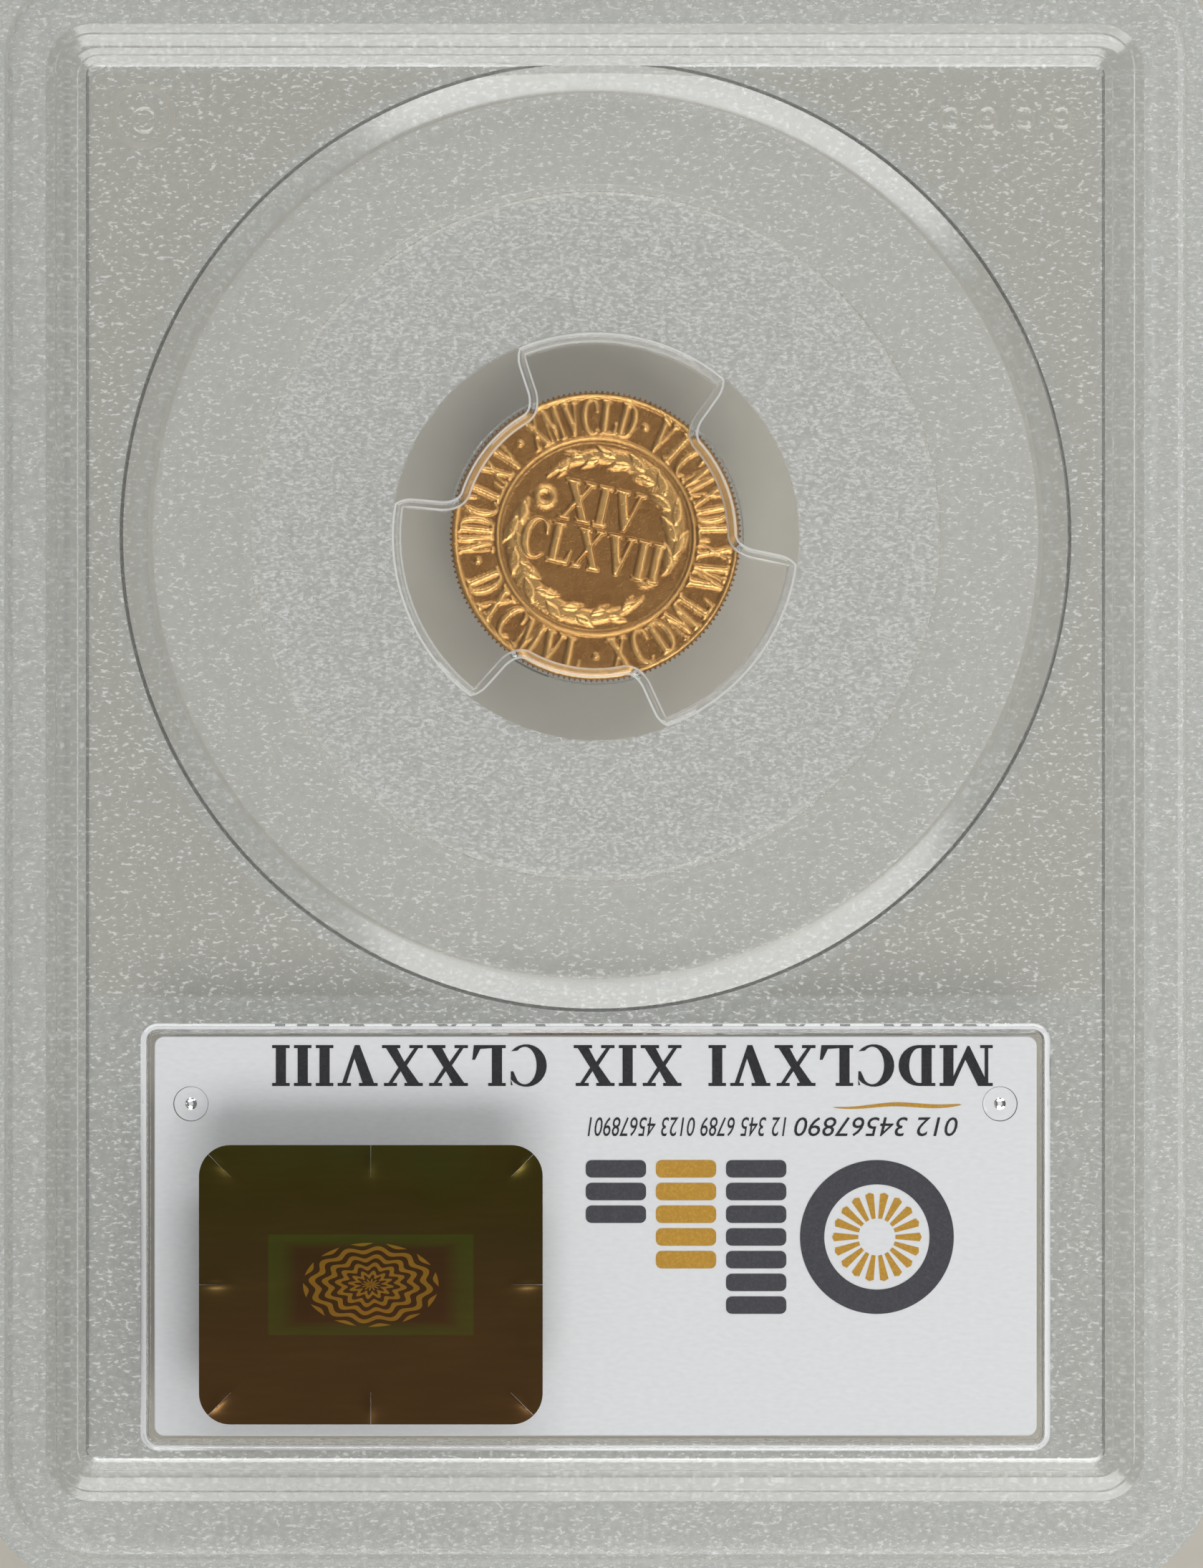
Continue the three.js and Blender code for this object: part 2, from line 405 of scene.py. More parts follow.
@dataclass(frozen=True)
class CardStock:
    """Matte white card with a faint fibre texture."""

    name: str = "white_card"
    colour: Colour = (0.80, 0.81, 0.83)

    def build(self) -> Material:
        """Makes the material.

        Returns:
            The material.
        """
        tree = ShaderTree(self.name)
        shader = tree.principled(roughness=0.62)
        fibres = tree.noise(tree.place((2400, 5200, 2400)), 5.0)
        pale = tuple(min(1.0, c * 1.03) for c in self.colour)
        dull = tuple(c * 0.965 for c in self.colour)
        tree.link(tree.ramp(fibres, [(0.3, dull), (0.7, pale)]), shader.inputs["Base Color"])
        tree.link(tree.bump(fibres, 0.004), shader.inputs["Normal"])
        return tree.material


@dataclass(frozen=True)
class Ink:
    """Printed ink that lets a little of the card's texture through."""

    name: str
    colour: Colour

    def build(self) -> Material:
        """Makes the material.

        Returns:
            The material.
        """
        tree = ShaderTree(self.name)
        shader = tree.principled(roughness=0.5, specular_ior_level=0.12)
        specks = tree.noise(tree.place((9000, 9000, 9000)), 3.0)
        thin = tuple(c * 1.25 + 0.012 for c in self.colour)
        tree.link(tree.ramp(specks, [(0.42, self.colour), (0.72, thin)]), shader.inputs["Base Color"])
        tree.link(tree.bump(specks, 0.002), shader.inputs["Normal"])
        return tree.material


DARK_INK = Ink("dark_ink", (0.018, 0.018, 0.022))
CHARCOAL_INK = Ink("charcoal_ink", (0.055, 0.055, 0.065))
OCHRE_INK = Ink("ochre_ink", (0.50, 0.27, 0.035))


@dataclass(frozen=True)
class SealFoil:
    """Dark metallised film that shifts from olive to copper down its length.

    A green frame glows round a fine rosette of gold-brown lines in the middle.
    """

    centre: Vector
    half: Point2
    name: str = "shifting_film"
    frame_half: Point2 = (5.3, 2.6)
    rosette_r: float = 2.15
    rosette_squash: float = 0.62
    petals: float = 12.0
    glow: Colour = (0.0, 0.09, 0.0)
    gold: Colour = (0.60, 0.30, 0.02)

    def build(self) -> Material:
        """Makes the material.

        Returns:
            The material.
        """
        tree = ShaderTree(self.name)
        shader = tree.principled(metallic=1.0, roughness=0.27)
        vector = tree.place((1 / MM,) * 3, (-self.centre.x, -self.centre.y, 0))
        axes = tree.add("ShaderNodeSeparateXYZ")
        tree.link(vector, axes.inputs["Vector"])
        x, y = axes.outputs["X"], axes.outputs["Y"]
        drift = tree.math("MULTIPLY", tree.noise(vector, 3.0, 0.22), 0.55)
        along = tree.math("ADD", tree.math("MULTIPLY", y, 1 / (2 * self.half[1])), drift)
        base = tree.ramp(along, [
            (0.0, (0.230, 0.102, 0.046)),
            (0.35, (0.170, 0.089, 0.035)),
            (0.62, (0.145, 0.089, 0.024)),
            (0.9, (0.140, 0.122, 0.034)),
        ])
        colour = self.framed(tree, x, y, base)
        tree.link(colour, shader.inputs["Base Color"])
        lines = tree.math("SINE", tree.math("MULTIPLY", x, 2.1))
        creases = tree.noise(tree.place((90, 420, 100)), 3.0)
        normal = tree.bump(tree.math("ADD", creases, tree.math("MULTIPLY", lines, 0.04)), 0.05)
        tree.link(normal, shader.inputs["Normal"])
        return tree.material

    def framed(self, tree: ShaderTree, x: Socket, y: Socket, base: Socket) -> Socket:
        """Lays the green frame and the rosette over the base colour.

        Args:
            tree: The material's tree.
            x: Distance across from the seal's centre, in millimetres.
            y: Distance along from the seal's centre, in millimetres.
            base: The film's own colour.

        Returns:
            The finished colour.
        """
        reach = [tree.math("DIVIDE", tree.math("ABSOLUTE", distance), half)
                 for distance, half in zip((x, y), self.frame_half)]
        dark = (0, 0, 0)
        glow = tree.ramp(tree.math("MAXIMUM", *reach), [
            (0.70, dark), (0.86, (0.0, 0.072, 0.0)), (0.98, self.glow), (1.0, (0.0, 0.02, 0.0)),
        ])
        lit = self.added(tree, base, glow)
        across = tree.math("MULTIPLY", x, self.rosette_squash)
        angle = tree.math("ARCTAN2", y, across)
        squares = [tree.math("POWER", distance, 2.0) for distance in (across, y)]
        radius = tree.math("SQRT", tree.math("ADD", *squares))
        petals = tree.math("SINE", tree.math("MULTIPLY", angle, self.petals))
        waves = [tree.math("MULTIPLY", radius, 15.0), tree.math("MULTIPLY", petals, 1.6)]
        rings = tree.math("SINE", tree.math("ADD", *waves))
        inside = tree.math("LESS_THAN", radius, self.rosette_r)
        shown = tree.math("MULTIPLY", tree.math("GREATER_THAN", rings, 0.05), inside)
        return self.added(tree, lit, tree.ramp(shown, [(0.0, dark), (1.0, self.gold)]))

    @staticmethod
    def added(tree: ShaderTree, first: Socket, second: Socket) -> Socket:
        """Sum of two colours.

        Args:
            tree: The material's tree.
            first: One colour.
            second: The other.

        Returns:
            The sum.
        """
        node = tree.add("ShaderNodeMix", data_type="RGBA", blend_type="ADD")
        node.inputs["Factor"].default_value = 1.0
        colours = [socket for socket in node.inputs if socket.type == "RGBA"]
        tree.link(first, colours[0])
        tree.link(second, colours[1])
        return next(socket for socket in node.outputs if socket.type == "RGBA")


@dataclass(frozen=True)
class StudioPaper:
    """Pale warm paper under the holder."""

    name: str = "studio_paper"
    colour: Colour = (0.52, 0.49, 0.43)

    def build(self) -> Material:
        """Makes the material.

        Returns:
            The material.
        """
        tree = ShaderTree(self.name)
        shader = tree.principled(roughness=0.85)
        tone = tree.noise(tree.place((700, 700, 700)), 4.0)
        pale = tuple(c * 1.02 for c in self.colour)
        dull = tuple(c * 0.98 for c in self.colour)
        tree.link(tree.ramp(tone, [(0.3, dull), (0.7, pale)]), shader.inputs["Base Color"])
        return tree.material


# ---------------------------------------------------------------------------------------
# Mesh helpers
# ---------------------------------------------------------------------------------------
@dataclass(frozen=True)
class Outline:
    """A rounded rectangle: half width, half length, corner radius and centre."""

    x: float
    y: float
    r: float
    cx: float = 0.0
    cy: float = 0.0

    def grown(self, by: float) -> "Outline":
        """The outline moved outwards, with corners that stay concentric."""
        return Outline(self.x + by, self.y + by, max(self.r + by, 0.05), self.cx, self.cy)

    def points(self, steps: int = 14) -> list[Point2]:
        """Points counter-clockwise.

        Args:
            steps: Number of steps in each corner.

        Returns:
            The points.
        """
        found = []
        for quarter, (sx, sy) in enumerate(((1, 1), (-1, 1), (-1, -1), (1, -1))):
            middle = (self.cx + sx * (self.x - self.r), self.cy + sy * (self.y - self.r))
            for i in range(steps + 1):
                angle = math.pi / 2 * (quarter + i / steps)
                found.append((middle[0] + self.r * math.cos(angle), middle[1] + self.r * math.sin(angle)))
        return found

    def holds(self, x: float, y: float) -> bool:
        """Tells whether a point lies inside the outline.

        Args:
            x: The point, across the holder.
            y: The point, along the holder.

        Returns:
            True if it lies inside.
        """
        dx = max(abs(x - self.cx) - (self.x - self.r), 0.0)
        dy = max(abs(y - self.cy) - (self.y - self.r), 0.0)
        return math.hypot(dx, dy) < self.r


@dataclass(frozen=True)
class Ring:
    """A circle that can stand in for an outline."""

    r: float
    cx: float = 0.0
    cy: float = 0.0

    def points(self, steps: int = 64) -> list[Point2]:
        """Points counter-clockwise.

        Args:
            steps: Number of steps in a quarter of the circle.

        Returns:
            The points.
        """
        count = 4 * steps
        turns = [2 * math.pi * i / count for i in range(count)]
        return [(self.cx + self.r * math.cos(t), self.cy + self.r * math.sin(t)) for t in turns]


def new_object(name: str, mesh: Mesh) -> Piece:
    """Puts a mesh or a curve into the scene.

    Args:
        name: The object's name.
        mesh: Its data.

    Returns:
        The object.
    """
    piece = bpy.data.objects.new(name, mesh)
    bpy.context.scene.collection.objects.link(piece)
    return piece


def from_bmesh(name: str, shape: bmesh.types.BMesh) -> Piece:
    """Turns a bmesh into an object and frees it.

    Args:
        name: The mesh's and the object's name.
        shape: The bmesh.

    Returns:
        The object.
    """
    mesh = bpy.data.meshes.new(name)
    shape.to_mesh(mesh)
    shape.free()
    return new_object(name, mesh)


def loft(levels: Iterable[tuple[object, float]], steps: int, ring: bool = False) -> Piece:
    """A closed solid through outlines at given heights.

    Args:
        levels: Pairs of an outline and its height, in order.
        steps: Steps passed to each outline.
        ring: Joins the last level to the first, which leaves the middle open.

    Returns:
        The solid, with its faces pointing out.
    """
    shape = bmesh.new()
    loops = [[shape.verts.new((x, y, z)) for x, y in outline.points(steps)] for outline, z in levels]
    pairs = list(zip(loops, loops[1:]))
    if ring:
        pairs.append((loops[-1], loops[0]))
    for low, high in pairs:
        for i in range(len(low)):
            j = (i + 1) % len(low)
            shape.faces.new((low[i], low[j], high[j], high[i]))
    if not ring:
        shape.faces.new(list(reversed(loops[0])))
        shape.faces.new(loops[-1])
    bmesh.ops.recalc_face_normals(shape, faces=shape.faces)
    return from_bmesh("blank", shape)


def stepped(outline: Outline, levels: Sequence[tuple[float, float]], steps: int) -> Piece:
    """A closed solid whose outline grows or shrinks on its way up.

    Args:
        outline: The outline that the levels start from.
        levels: Pairs of growth and height, in order.
        steps: Steps in each corner.

    Returns:
        The solid.
    """
    return loft([(outline.grown(by), h) for by, h in levels], steps)


def plain_copy(piece: Piece, name: str) -> Piece:
    """The object with its modifiers applied; the old one is removed.

    Args:
        piece: The object with its modifiers.
        name: The new mesh's and object's name.

    Returns:
        The new object.
    """
    graph = bpy.context.evaluated_depsgraph_get()
    mesh = bpy.data.meshes.new_from_object(piece.evaluated_get(graph))
    mesh.name = name
    bpy.data.objects.remove(piece)
    return new_object(name, mesh)


class Cut(Enum):
    """How a tool solid changes a body."""

    ADD = "UNION"
    TAKE = "DIFFERENCE"
    KEEP = "INTERSECT"


def carve(body: Piece, steps: Sequence[tuple[Cut, Piece]]) -> Piece:
    """Adds, takes away or keeps solids in order.

    Args:
        body: The starting solid.
        steps: What to do with each tool; the tools are used up.

    Returns:
        The finished solid.
    """
    for cut, tool in steps:
        modifier = body.modifiers.new("carve", "BOOLEAN")
        modifier.operation = cut.value
        modifier.solver = "MANIFOLD"
        modifier.object = tool
    bpy.context.view_layer.update()
    made = plain_copy(body, "carved")
    for _, tool in steps:
        bpy.data.objects.remove(tool)
    return made


def soften(mesh: Mesh, limit_degrees: float = 11.0) -> None:
    """Smooths round stretches, and keeps flats and real edges crisp.

    Args:
        mesh: The mesh to shade.
        limit_degrees: The largest bend that is still drawn as smooth.
    """
    shape = bmesh.new()
    shape.from_mesh(mesh)
    limit = math.radians(limit_degrees)
    for face in shape.faces:
        face.smooth = True
    for edge in shape.edges:
        if len(edge.link_faces) != 2:
            continue
        heights = [[vert.co.z for vert in face.verts] for face in edge.link_faces]
        level = [max(h) - min(h) < 1e-5 for h in heights]
        edge.smooth = edge.calc_face_angle(0.0) < limit and level[0] == level[1]
    shape.to_mesh(mesh)
    shape.free()


def place(piece: Piece, slot: str, *nodes: str) -> Piece:
    """Gives a finished piece its body and hides the CAD nodes that it stands for.

    Args:
        piece: The finished piece.
        slot: Not used.
        nodes: The CAD nodes that it takes the place of.

    Returns:
        The same piece.
    """
    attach(piece, BODY)
    if nodes:
        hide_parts(*nodes)
    LOG.info("%s: %d faces", piece.name, len(piece.data.polygons))
    return piece


# ---------------------------------------------------------------------------------------
# Repeats
# ---------------------------------------------------------------------------------------
class Repeat:
    """A Geometry Nodes rule that copies one small shape round a circle or along a line."""

    def __init__(self, name: str) -> None:
        """Starts the rule's tree.

        Args:
            name: The tree's name.
        """
        self.tree = bpy.data.node_groups.new(name, "GeometryNodeTree")
        self.tree.interface.new_socket("Geometry", in_out="INPUT", socket_type="NodeSocketGeometry")
        self.tree.interface.new_socket("Geometry", in_out="OUTPUT", socket_type="NodeSocketGeometry")
        self.values: dict[str, object] = {}
        self.entry = self.tree.nodes.new("NodeGroupInput")

    def field(self, name: str, kind: str, value: object) -> None:
        """Adds a named input.

        Args:
            name: The input's name.
            kind: Its socket type.
            value: What the modifier gives it.
        """
        socket = self.tree.interface.new_socket(name, in_out="INPUT", socket_type=kind)
        self.values[socket.identifier] = value

    def node(self, kind: str, **settings: object) -> Node:
        """Adds a node.

        Args:
            kind: The node's type name.
            settings: Properties set on the node.

        Returns:
            The new node.
        """
        made = self.tree.nodes.new(kind)
        for name, value in settings.items():
            setattr(made, name, value)
        return made

    def bake(self, shape: Piece, points: Socket, turn: Socket | None, material: Material, name: str) -> Piece:
        """Copies the shape to the points and returns the result as a plain mesh.

        Args:
            shape: The small shape; it is used up.
            points: The points' geometry output.
            turn: Rotation of each copy, or None.
            material: Finish of the copies.
            name: The new piece's name.

        Returns:
            The realised copies.
        """
        links = self.tree.links
        copies = self.node("GeometryNodeInstanceOnPoints")
        links.new(points, copies.inputs["Points"])
        links.new(self.entry.outputs["Geometry"], copies.inputs["Instance"])
        if turn is not None:
            links.new(turn, copies.inputs["Rotation"])
        real = self.node("GeometryNodeRealizeInstances")
        paint = self.node("GeometryNodeSetMaterial")
        paint.inputs["Material"].default_value = material
        links.new(copies.outputs["Instances"], real.inputs["Geometry"])
        links.new(real.outputs["Geometry"], paint.inputs["Geometry"])
        end = self.node("NodeGroupOutput")
        links.new(paint.outputs["Geometry"], end.inputs["Geometry"])
        modifier = shape.modifiers.new(name, "NODES")
        modifier.node_group = self.tree
        for identifier, value in self.values.items():
            modifier[identifier] = value
        bpy.context.view_layer.update()
        made = plain_copy(shape, name)
        made.data.materials.clear()
        made.data.materials.append(material)
        made.data.polygons.foreach_set("material_index", [0] * len(made.data.polygons))
        return made


def copies_round(shape: Piece, count: int, radius: float, material: Material, name: str) -> Piece:
    """Copies of a shape evenly round a circle, each turned to face outwards.

    Args:
        shape: One copy, with its outward side along +X.
        count: How many copies.
        radius: Radius of the circle.
        material: Finish of the copies.
        name: The new piece's name.

    Returns:
        The copies as one plain mesh about the origin.
    """
    rule = Repeat(name + "_rule")
    rule.field("Count", "NodeSocketInt", count)
    rule.field("Radius", "NodeSocketFloat", radius)
    links = rule.tree.links
    circle = rule.node("GeometryNodeMeshCircle")
    links.new(rule.entry.outputs["Count"], circle.inputs["Vertices"])
    links.new(rule.entry.outputs["Radius"], circle.inputs["Radius"])
    share = rule.node("ShaderNodeMath", operation="DIVIDE")
    links.new(rule.node("GeometryNodeInputIndex").outputs["Index"], share.inputs[0])
    links.new(rule.entry.outputs["Count"], share.inputs[1])
    angle = rule.node("ShaderNodeMath", operation="MULTIPLY")
    angle.inputs[1].default_value = 2 * math.pi
    links.new(share.outputs["Value"], angle.inputs[0])
    euler = rule.node("ShaderNodeCombineXYZ")
    links.new(angle.outputs["Value"], euler.inputs["Z"])
    turn = rule.node("FunctionNodeEulerToRotation")
    links.new(euler.outputs["Vector"], turn.inputs["Euler"])
    return rule.bake(shape, circle.outputs["Mesh"], turn.outputs["Rotation"], material, name)


def copies_along(shape: Piece, count: int, step: Sequence[float], material: Material, name: str) -> Piece:
    """Copies of a shape in a straight row from the origin.

    Args:
        shape: One copy.
        count: How many copies.
        step: Offset from one copy to the next.
        material: Finish of the copies.
        name: The new piece's name.

    Returns:
        The copies as one plain mesh.
    """
    rule = Repeat(name + "_rule")
    rule.field("Count", "NodeSocketInt", count)
    rule.field("Step", "NodeSocketVector", tuple(step))
    line = rule.node("GeometryNodeMeshLine", mode="OFFSET")
    rule.tree.links.new(rule.entry.outputs["Count"], line.inputs["Count"])
    rule.tree.links.new(rule.entry.outputs["Step"], line.inputs["Offset"])
    return rule.bake(shape, line.outputs["Mesh"], None, material, name)


def joined(name: str, pieces: Sequence[Piece]) -> Piece:
    """Several meshes as one object, which keeps their materials.

    Args:
        name: The object's and its mesh's name.
        pieces: The meshes; all but the first are used up.

    Returns:
        The first piece, with the rest joined to it.
    """
    bpy.ops.object.select_all(action="DESELECT")
    for piece in pieces:
        piece.select_set(True)
    bpy.context.view_layer.objects.active = pieces[0]
    bpy.ops.object.join()
    pieces[0].name = name
    pieces[0].data.name = name
    return pieces[0]


# ---------------------------------------------------------------------------------------
# Shells
# ---------------------------------------------------------------------------------------
class Side(Enum):
    """The two halves of the holder."""

    BACK = "back_shell"
    FRONT = "front_shell"


class Zone(Enum):
    """Skins of a shell, in the order of its material slots."""

    POLISHED = 0
    PEBBLED = 1
    RIM = 2
    EDGE = 3
    SEAM = 4
    FINE = 5


@dataclass
class ShellHalf:
    """One clear moulded half: flange, border, stacking ridge, field and two windows.

    A name that ends in _h is a height above the parting plane, and one that ends in _r is a
    radius about the coin.
    """

    side: Side
    border: Outline = Outline(30.3, 41.0, 5.0)
    field_edge: Outline = Outline(25.95, 35.65, 0.5)
    flange_h: float = 1.4
    field_h: float = 2.6
    border_h: float = 3.4
    top_h: float = PARTING
    window_r: float = 24.4
    window_round: float = 1.85
    rim_drop: float = 0.56
    polished_r: float = 17.7
    clear_r: float = 10.45
    pebbled_to_r: float = 22.5
    dish_h: float = 3.33
    chamber_r: float = 17.8
    chamber_h: float = 1.5
    hollow_h: float = 1.1
    coin_at: Vector = field(default_factory=lambda: centre_mm("coin_insert"))
    card_at: Vector = field(default_factory=lambda: centre_mm("label_card"))

    def __post_init__(self) -> None:
        """Takes the flange from the CAD node and sets this side's ridge."""
        low, high = corners_mm(self.side.value)
        self.flange = Outline((high.x - low.x) / 2, (high.y - low.y) / 2, 6.6)
        if self.side is Side.BACK:
            self.ridge = Outline(28.15, 37.85, 2.4)
        else:
            self.ridge = Outline(29.9, 40.3, 4.6)

    def card_outline(self, x: float, y: float, r: float) -> Outline:
        """An outline centred on the card."""
        return Outline(x, y, r, 0.0, self.card_at.y)

    def ring(self, r: float) -> Ring:
        """A circle centred on the coin."""
        return Ring(r, 0.0, self.coin_at.y)

    def flange_plate(self) -> Piece:
        """The flat flange, with softened edges."""
        levels = [(-0.1, 0.03), (0, 0.13), (0, 1.12), (-0.08, 1.3), (-0.26, self.flange_h)]
        return stepped(self.flange, levels, 14)

    def border_block(self) -> Piece:
        """The raised border, with a broad soft shoulder.

        Returns:
            The solid.
        """
        shoulder = [(0, 0.6), (0, 2.55), (-0.05, 2.82), (-0.2, 3.08), (-0.48, 3.28), (-0.9, 3.375),
                    (-1.35, self.border_h)]
        return stepped(self.border, shoulder, 14)

    def ridge_block(self) -> Piece:
        """The stacking ridge, whose outer side rises in two rounded steps.

        Returns:
            The solid.
        """
        if self.side is Side.BACK:
            steps = [(0, 3.1), (0, 3.42), (-0.05, 3.47), (-0.5, 3.64), (-0.54, 3.74), (-0.6, 3.78),
                     (-1.05, 3.93), (-1.15, 3.97), (-1.3, self.top_h)]
        else:
            steps = [(0, 3.1), (0, 3.6), (-0.06, 3.8), (-0.18, 3.94), (-0.35, self.top_h)]
        return stepped(self.ridge, steps, 14)

    def field_cutter(self) -> Piece:
        """Space over the sunk field; its walls lean out and roll over at the ridge.

        Returns:
            The solid.
        """
        levels = [(0, self.field_h), (0.08, 3.0), (0.14, 3.5), (0.17, 3.62), (0.5, 3.74), (0.53, 3.84),
                  (0.58, 3.88), (0.84, 3.975), (0.98, 4.02), (1.0, ABOVE_SHELL)]
        if self.side is Side.FRONT:
            levels = [(0, self.field_h), (0.12, 3.2), (0.2, 3.33), (0.36, 3.44), (0.4, ABOVE_SHELL)]
        return stepped(self.field_edge, levels, 6)

    def step_cutter(self) -> Piece:
        """On the front half, the space inside its wider ridge.

        Returns:
            The solid.
        """
        levels = [(-0.1, self.border_h), (0, 3.52), (0.05, 3.85), (0.18, 4.02), (0.2, ABOVE_SHELL)]
        return stepped(Outline(28.6, 38.4, 2.9), levels, 10)

    def window_block(self) -> Piece:
        """The raised round window, with a broad polished rim.

        Returns:
            The solid.
        """
        r, low = self.window_r, self.border_h - self.rim_drop
        foot = 0.2
        levels = [(r - 0.01, 1.0), (r, low - 0.22), (r - 0.02, low - 0.15), (r - 0.12, low - 0.05),
                  (r - foot, low)]
        bevel = self.window_round - foot
        for share in (0.25, 0.5, 0.75, 0.93):
            levels.append((r - foot - bevel * share, low + self.rim_drop * share * (1.12 - 0.12 * share)))
        levels.append((r - self.window_round - 0.1, self.border_h))
        return loft([(self.ring(r), h) for r, h in levels], 64)

    def dish_cutter(self) -> Piece:
        """Space over the polished middle of the window, with a bevelled edge.

        Returns:
            The solid.
        """
        r = self.polished_r
        levels = [(self.clear_r, self.dish_h - 0.0005), (r - 0.04, self.dish_h),
                  (r + 0.02, self.dish_h + 0.015), (r + 0.26, self.border_h - 0.015),
                  (r + 0.32, self.border_h + 0.01), (r + 0.34, ABOVE_SHELL)]
        return loft([(self.ring(radius), h) for radius, h in levels], 64)

    def card_window(self) -> Piece:
        """The raised window over the card, with a rounded edge.

        Returns:
            The solid.
        """
        levels = [(0, 1.0), (0, 2.9), (-0.04, 3.1), (-0.14, 3.27), (-0.3, 3.37), (-0.5, self.border_h)]
        return stepped(self.card_outline(23.3, 10.95, 0.9), levels, 10)

    def hollows(self) -> list[Piece]:
        """Spaces that open at the parting plane.

        Returns:
            The coin chamber, the ring hollow round it and the hollow corners outside that.
        """
        deep, tall, chamfer = BELOW_SHELL, self.hollow_h, 0.15
        wide, narrow = self.ring(self.chamber_r), self.ring(self.chamber_r - chamfer)
        chamber = loft([(wide, deep), (wide, self.chamber_h - chamfer), (narrow, self.chamber_h)], 64)
        inner, outer = self.ring(19.3), self.ring(22.7)
        annulus = loft([(inner, deep), (outer, deep), (outer, tall), (inner, tall)], 48, True)
        plate = Outline(25.9, 23.8, 0.6, 0, 11.8)
        corners = loft([(plate, deep), (plate, tall)], 6)
        middle = self.ring(24.9)
        keep = loft([(middle, deep - 1), (middle, tall + 1)], 48)
        return [chamber, annulus, carve(corners, [(Cut.TAKE, keep)])]

    def card_space(self) -> list[Piece]:
        """The chamber that holds the card.

        Returns:
            One space at the back, and two at the front, where a ledge runs all round.
        """
        chamfer = 0.15

        def space(outline: Outline, top: float) -> Piece:
            """A space up to a height, with its upper edge chamfered."""
            levels = [(outline, BELOW_SHELL), (outline, top - chamfer), (outline.grown(-chamfer), top)]
            return loft(levels, 6)
        room = self.card_outline(22.95, 10.5, 0.4)
        if self.side is Side.BACK:
            return [space(room, 1.2)]
        return [loft([(room, BELOW_SHELL), (room, 0.3)], 6), space(room.grown(-1.3), 2.0)]

    def pins(self) -> list[tuple[Cut, Piece]]:
        """Two short pins over the card.

        Returns:
            The steps that add each pin and take the dimple out of its end.
        """
        steps = []
        y = -17.5
        pin = [(0.72, 0.26), (0.86, 0.32), (0.9, 0.45), (0.9, 1.5)]
        dimple = [(0.3, -0.2), (0.3, 0.3), (0.12, 0.55)]
        for x in (-20.75, 20.75):
            steps.append((Cut.ADD, loft([(Ring(r, x, y), h) for r, h in pin], 12)))
            steps.append((Cut.TAKE, loft([(Ring(r, x, y), h) for r, h in dimple], 8)))
        return steps

    def mould_marks(self) -> list[tuple[Cut, Piece]]:
        """Shallow grooves in two corners of the field.

        Returns:
            The steps that cut two rings in one corner and a row of four in the other.
        """
        depth, lip = 0.04, 0.02

        def groove(x: float, y: float, r: float, width: float) -> Piece:
            """A round groove with a V section.

            Args:
                x: Its centre, across.
                y: Its centre, along.
                r: Its outer radius.
                width: Its width.

            Returns:
                The solid to take away.
            """
            outer, inner, middle = Ring(r, x, y), Ring(r - width, x, y), Ring(r - width / 2, x, y)
            return loft([(inner, self.field_h + lip), (middle, self.field_h - depth),
                         (outer, self.field_h + lip), (middle, self.field_h + 0.5)], 12, True)
        marks = [groove(-23.2, 33.1, 1.75, 0.5), groove(-23.1, 32.9, 0.75, 0.3)]
        marks += [groove(18.2 + 1.9 * i, 33.0, 0.62, 0.3) for i in range(4)]
        return [(Cut.TAKE, mark) for mark in marks]

    def zone(self, corners: Sequence[Vector], level: bool) -> Zone:
        """Which skin a face has.

        Args:
            corners: The face's corners, with heights above the parting plane.
            level: True if the face looks straight up.

        Returns:
            The skin.
        """
        low, high = min(c.z for c in corners), max(c.z for c in corners)
        within = [self.border.grown(0.01), self.ridge.grown(-0.01)]
        on_border, in_ridge = (all(outline.holds(c.x, c.y) for c in corners) for outline in within)
        from_coin = [math.hypot(c.x, c.y - self.coin_at.y) for c in corners]
        if low < 0.02 or high < self.flange_h and on_border:
            return Zone.POLISHED
        foot = self.border_h - self.rim_drop - 0.16
        at_foot = foot < low and high < foot + 0.17
        at_foot = at_foot and self.window_r - 0.21 < min(from_coin) <= self.window_r
        at_wall = min(abs(c.x) for c in corners) > self.field_edge.x - 0.01 and 2.55 < low and high < 3.55
        # The foot of the window and the field's side walls get the near-black plastic, a painted shade line.
        if at_foot or at_wall and on_border and in_ridge:
            return Zone.SEAM
        if not on_border or not in_ridge:
            return Zone.RIM
        if level and abs(high - self.field_h) < 0.07:
            return Zone.PEBBLED
        if low > self.dish_h - 0.001 and self.clear_r + 1 < max(from_coin) < self.polished_r:
            return Zone.FINE
        on_window = high > self.dish_h + 0.005 and low > self.dish_h - 0.01
        if on_window and max(from_coin) < self.pebbled_to_r + 0.2:
            return Zone.RIM
        on_card = self.card_outline(23.4, 11.05, 0.9).holds(corners[0].x, corners[0].y)
        if min(from_coin) > self.pebbled_to_r - 0.1 and not on_card:
            return Zone.EDGE
        return Zone.POLISHED

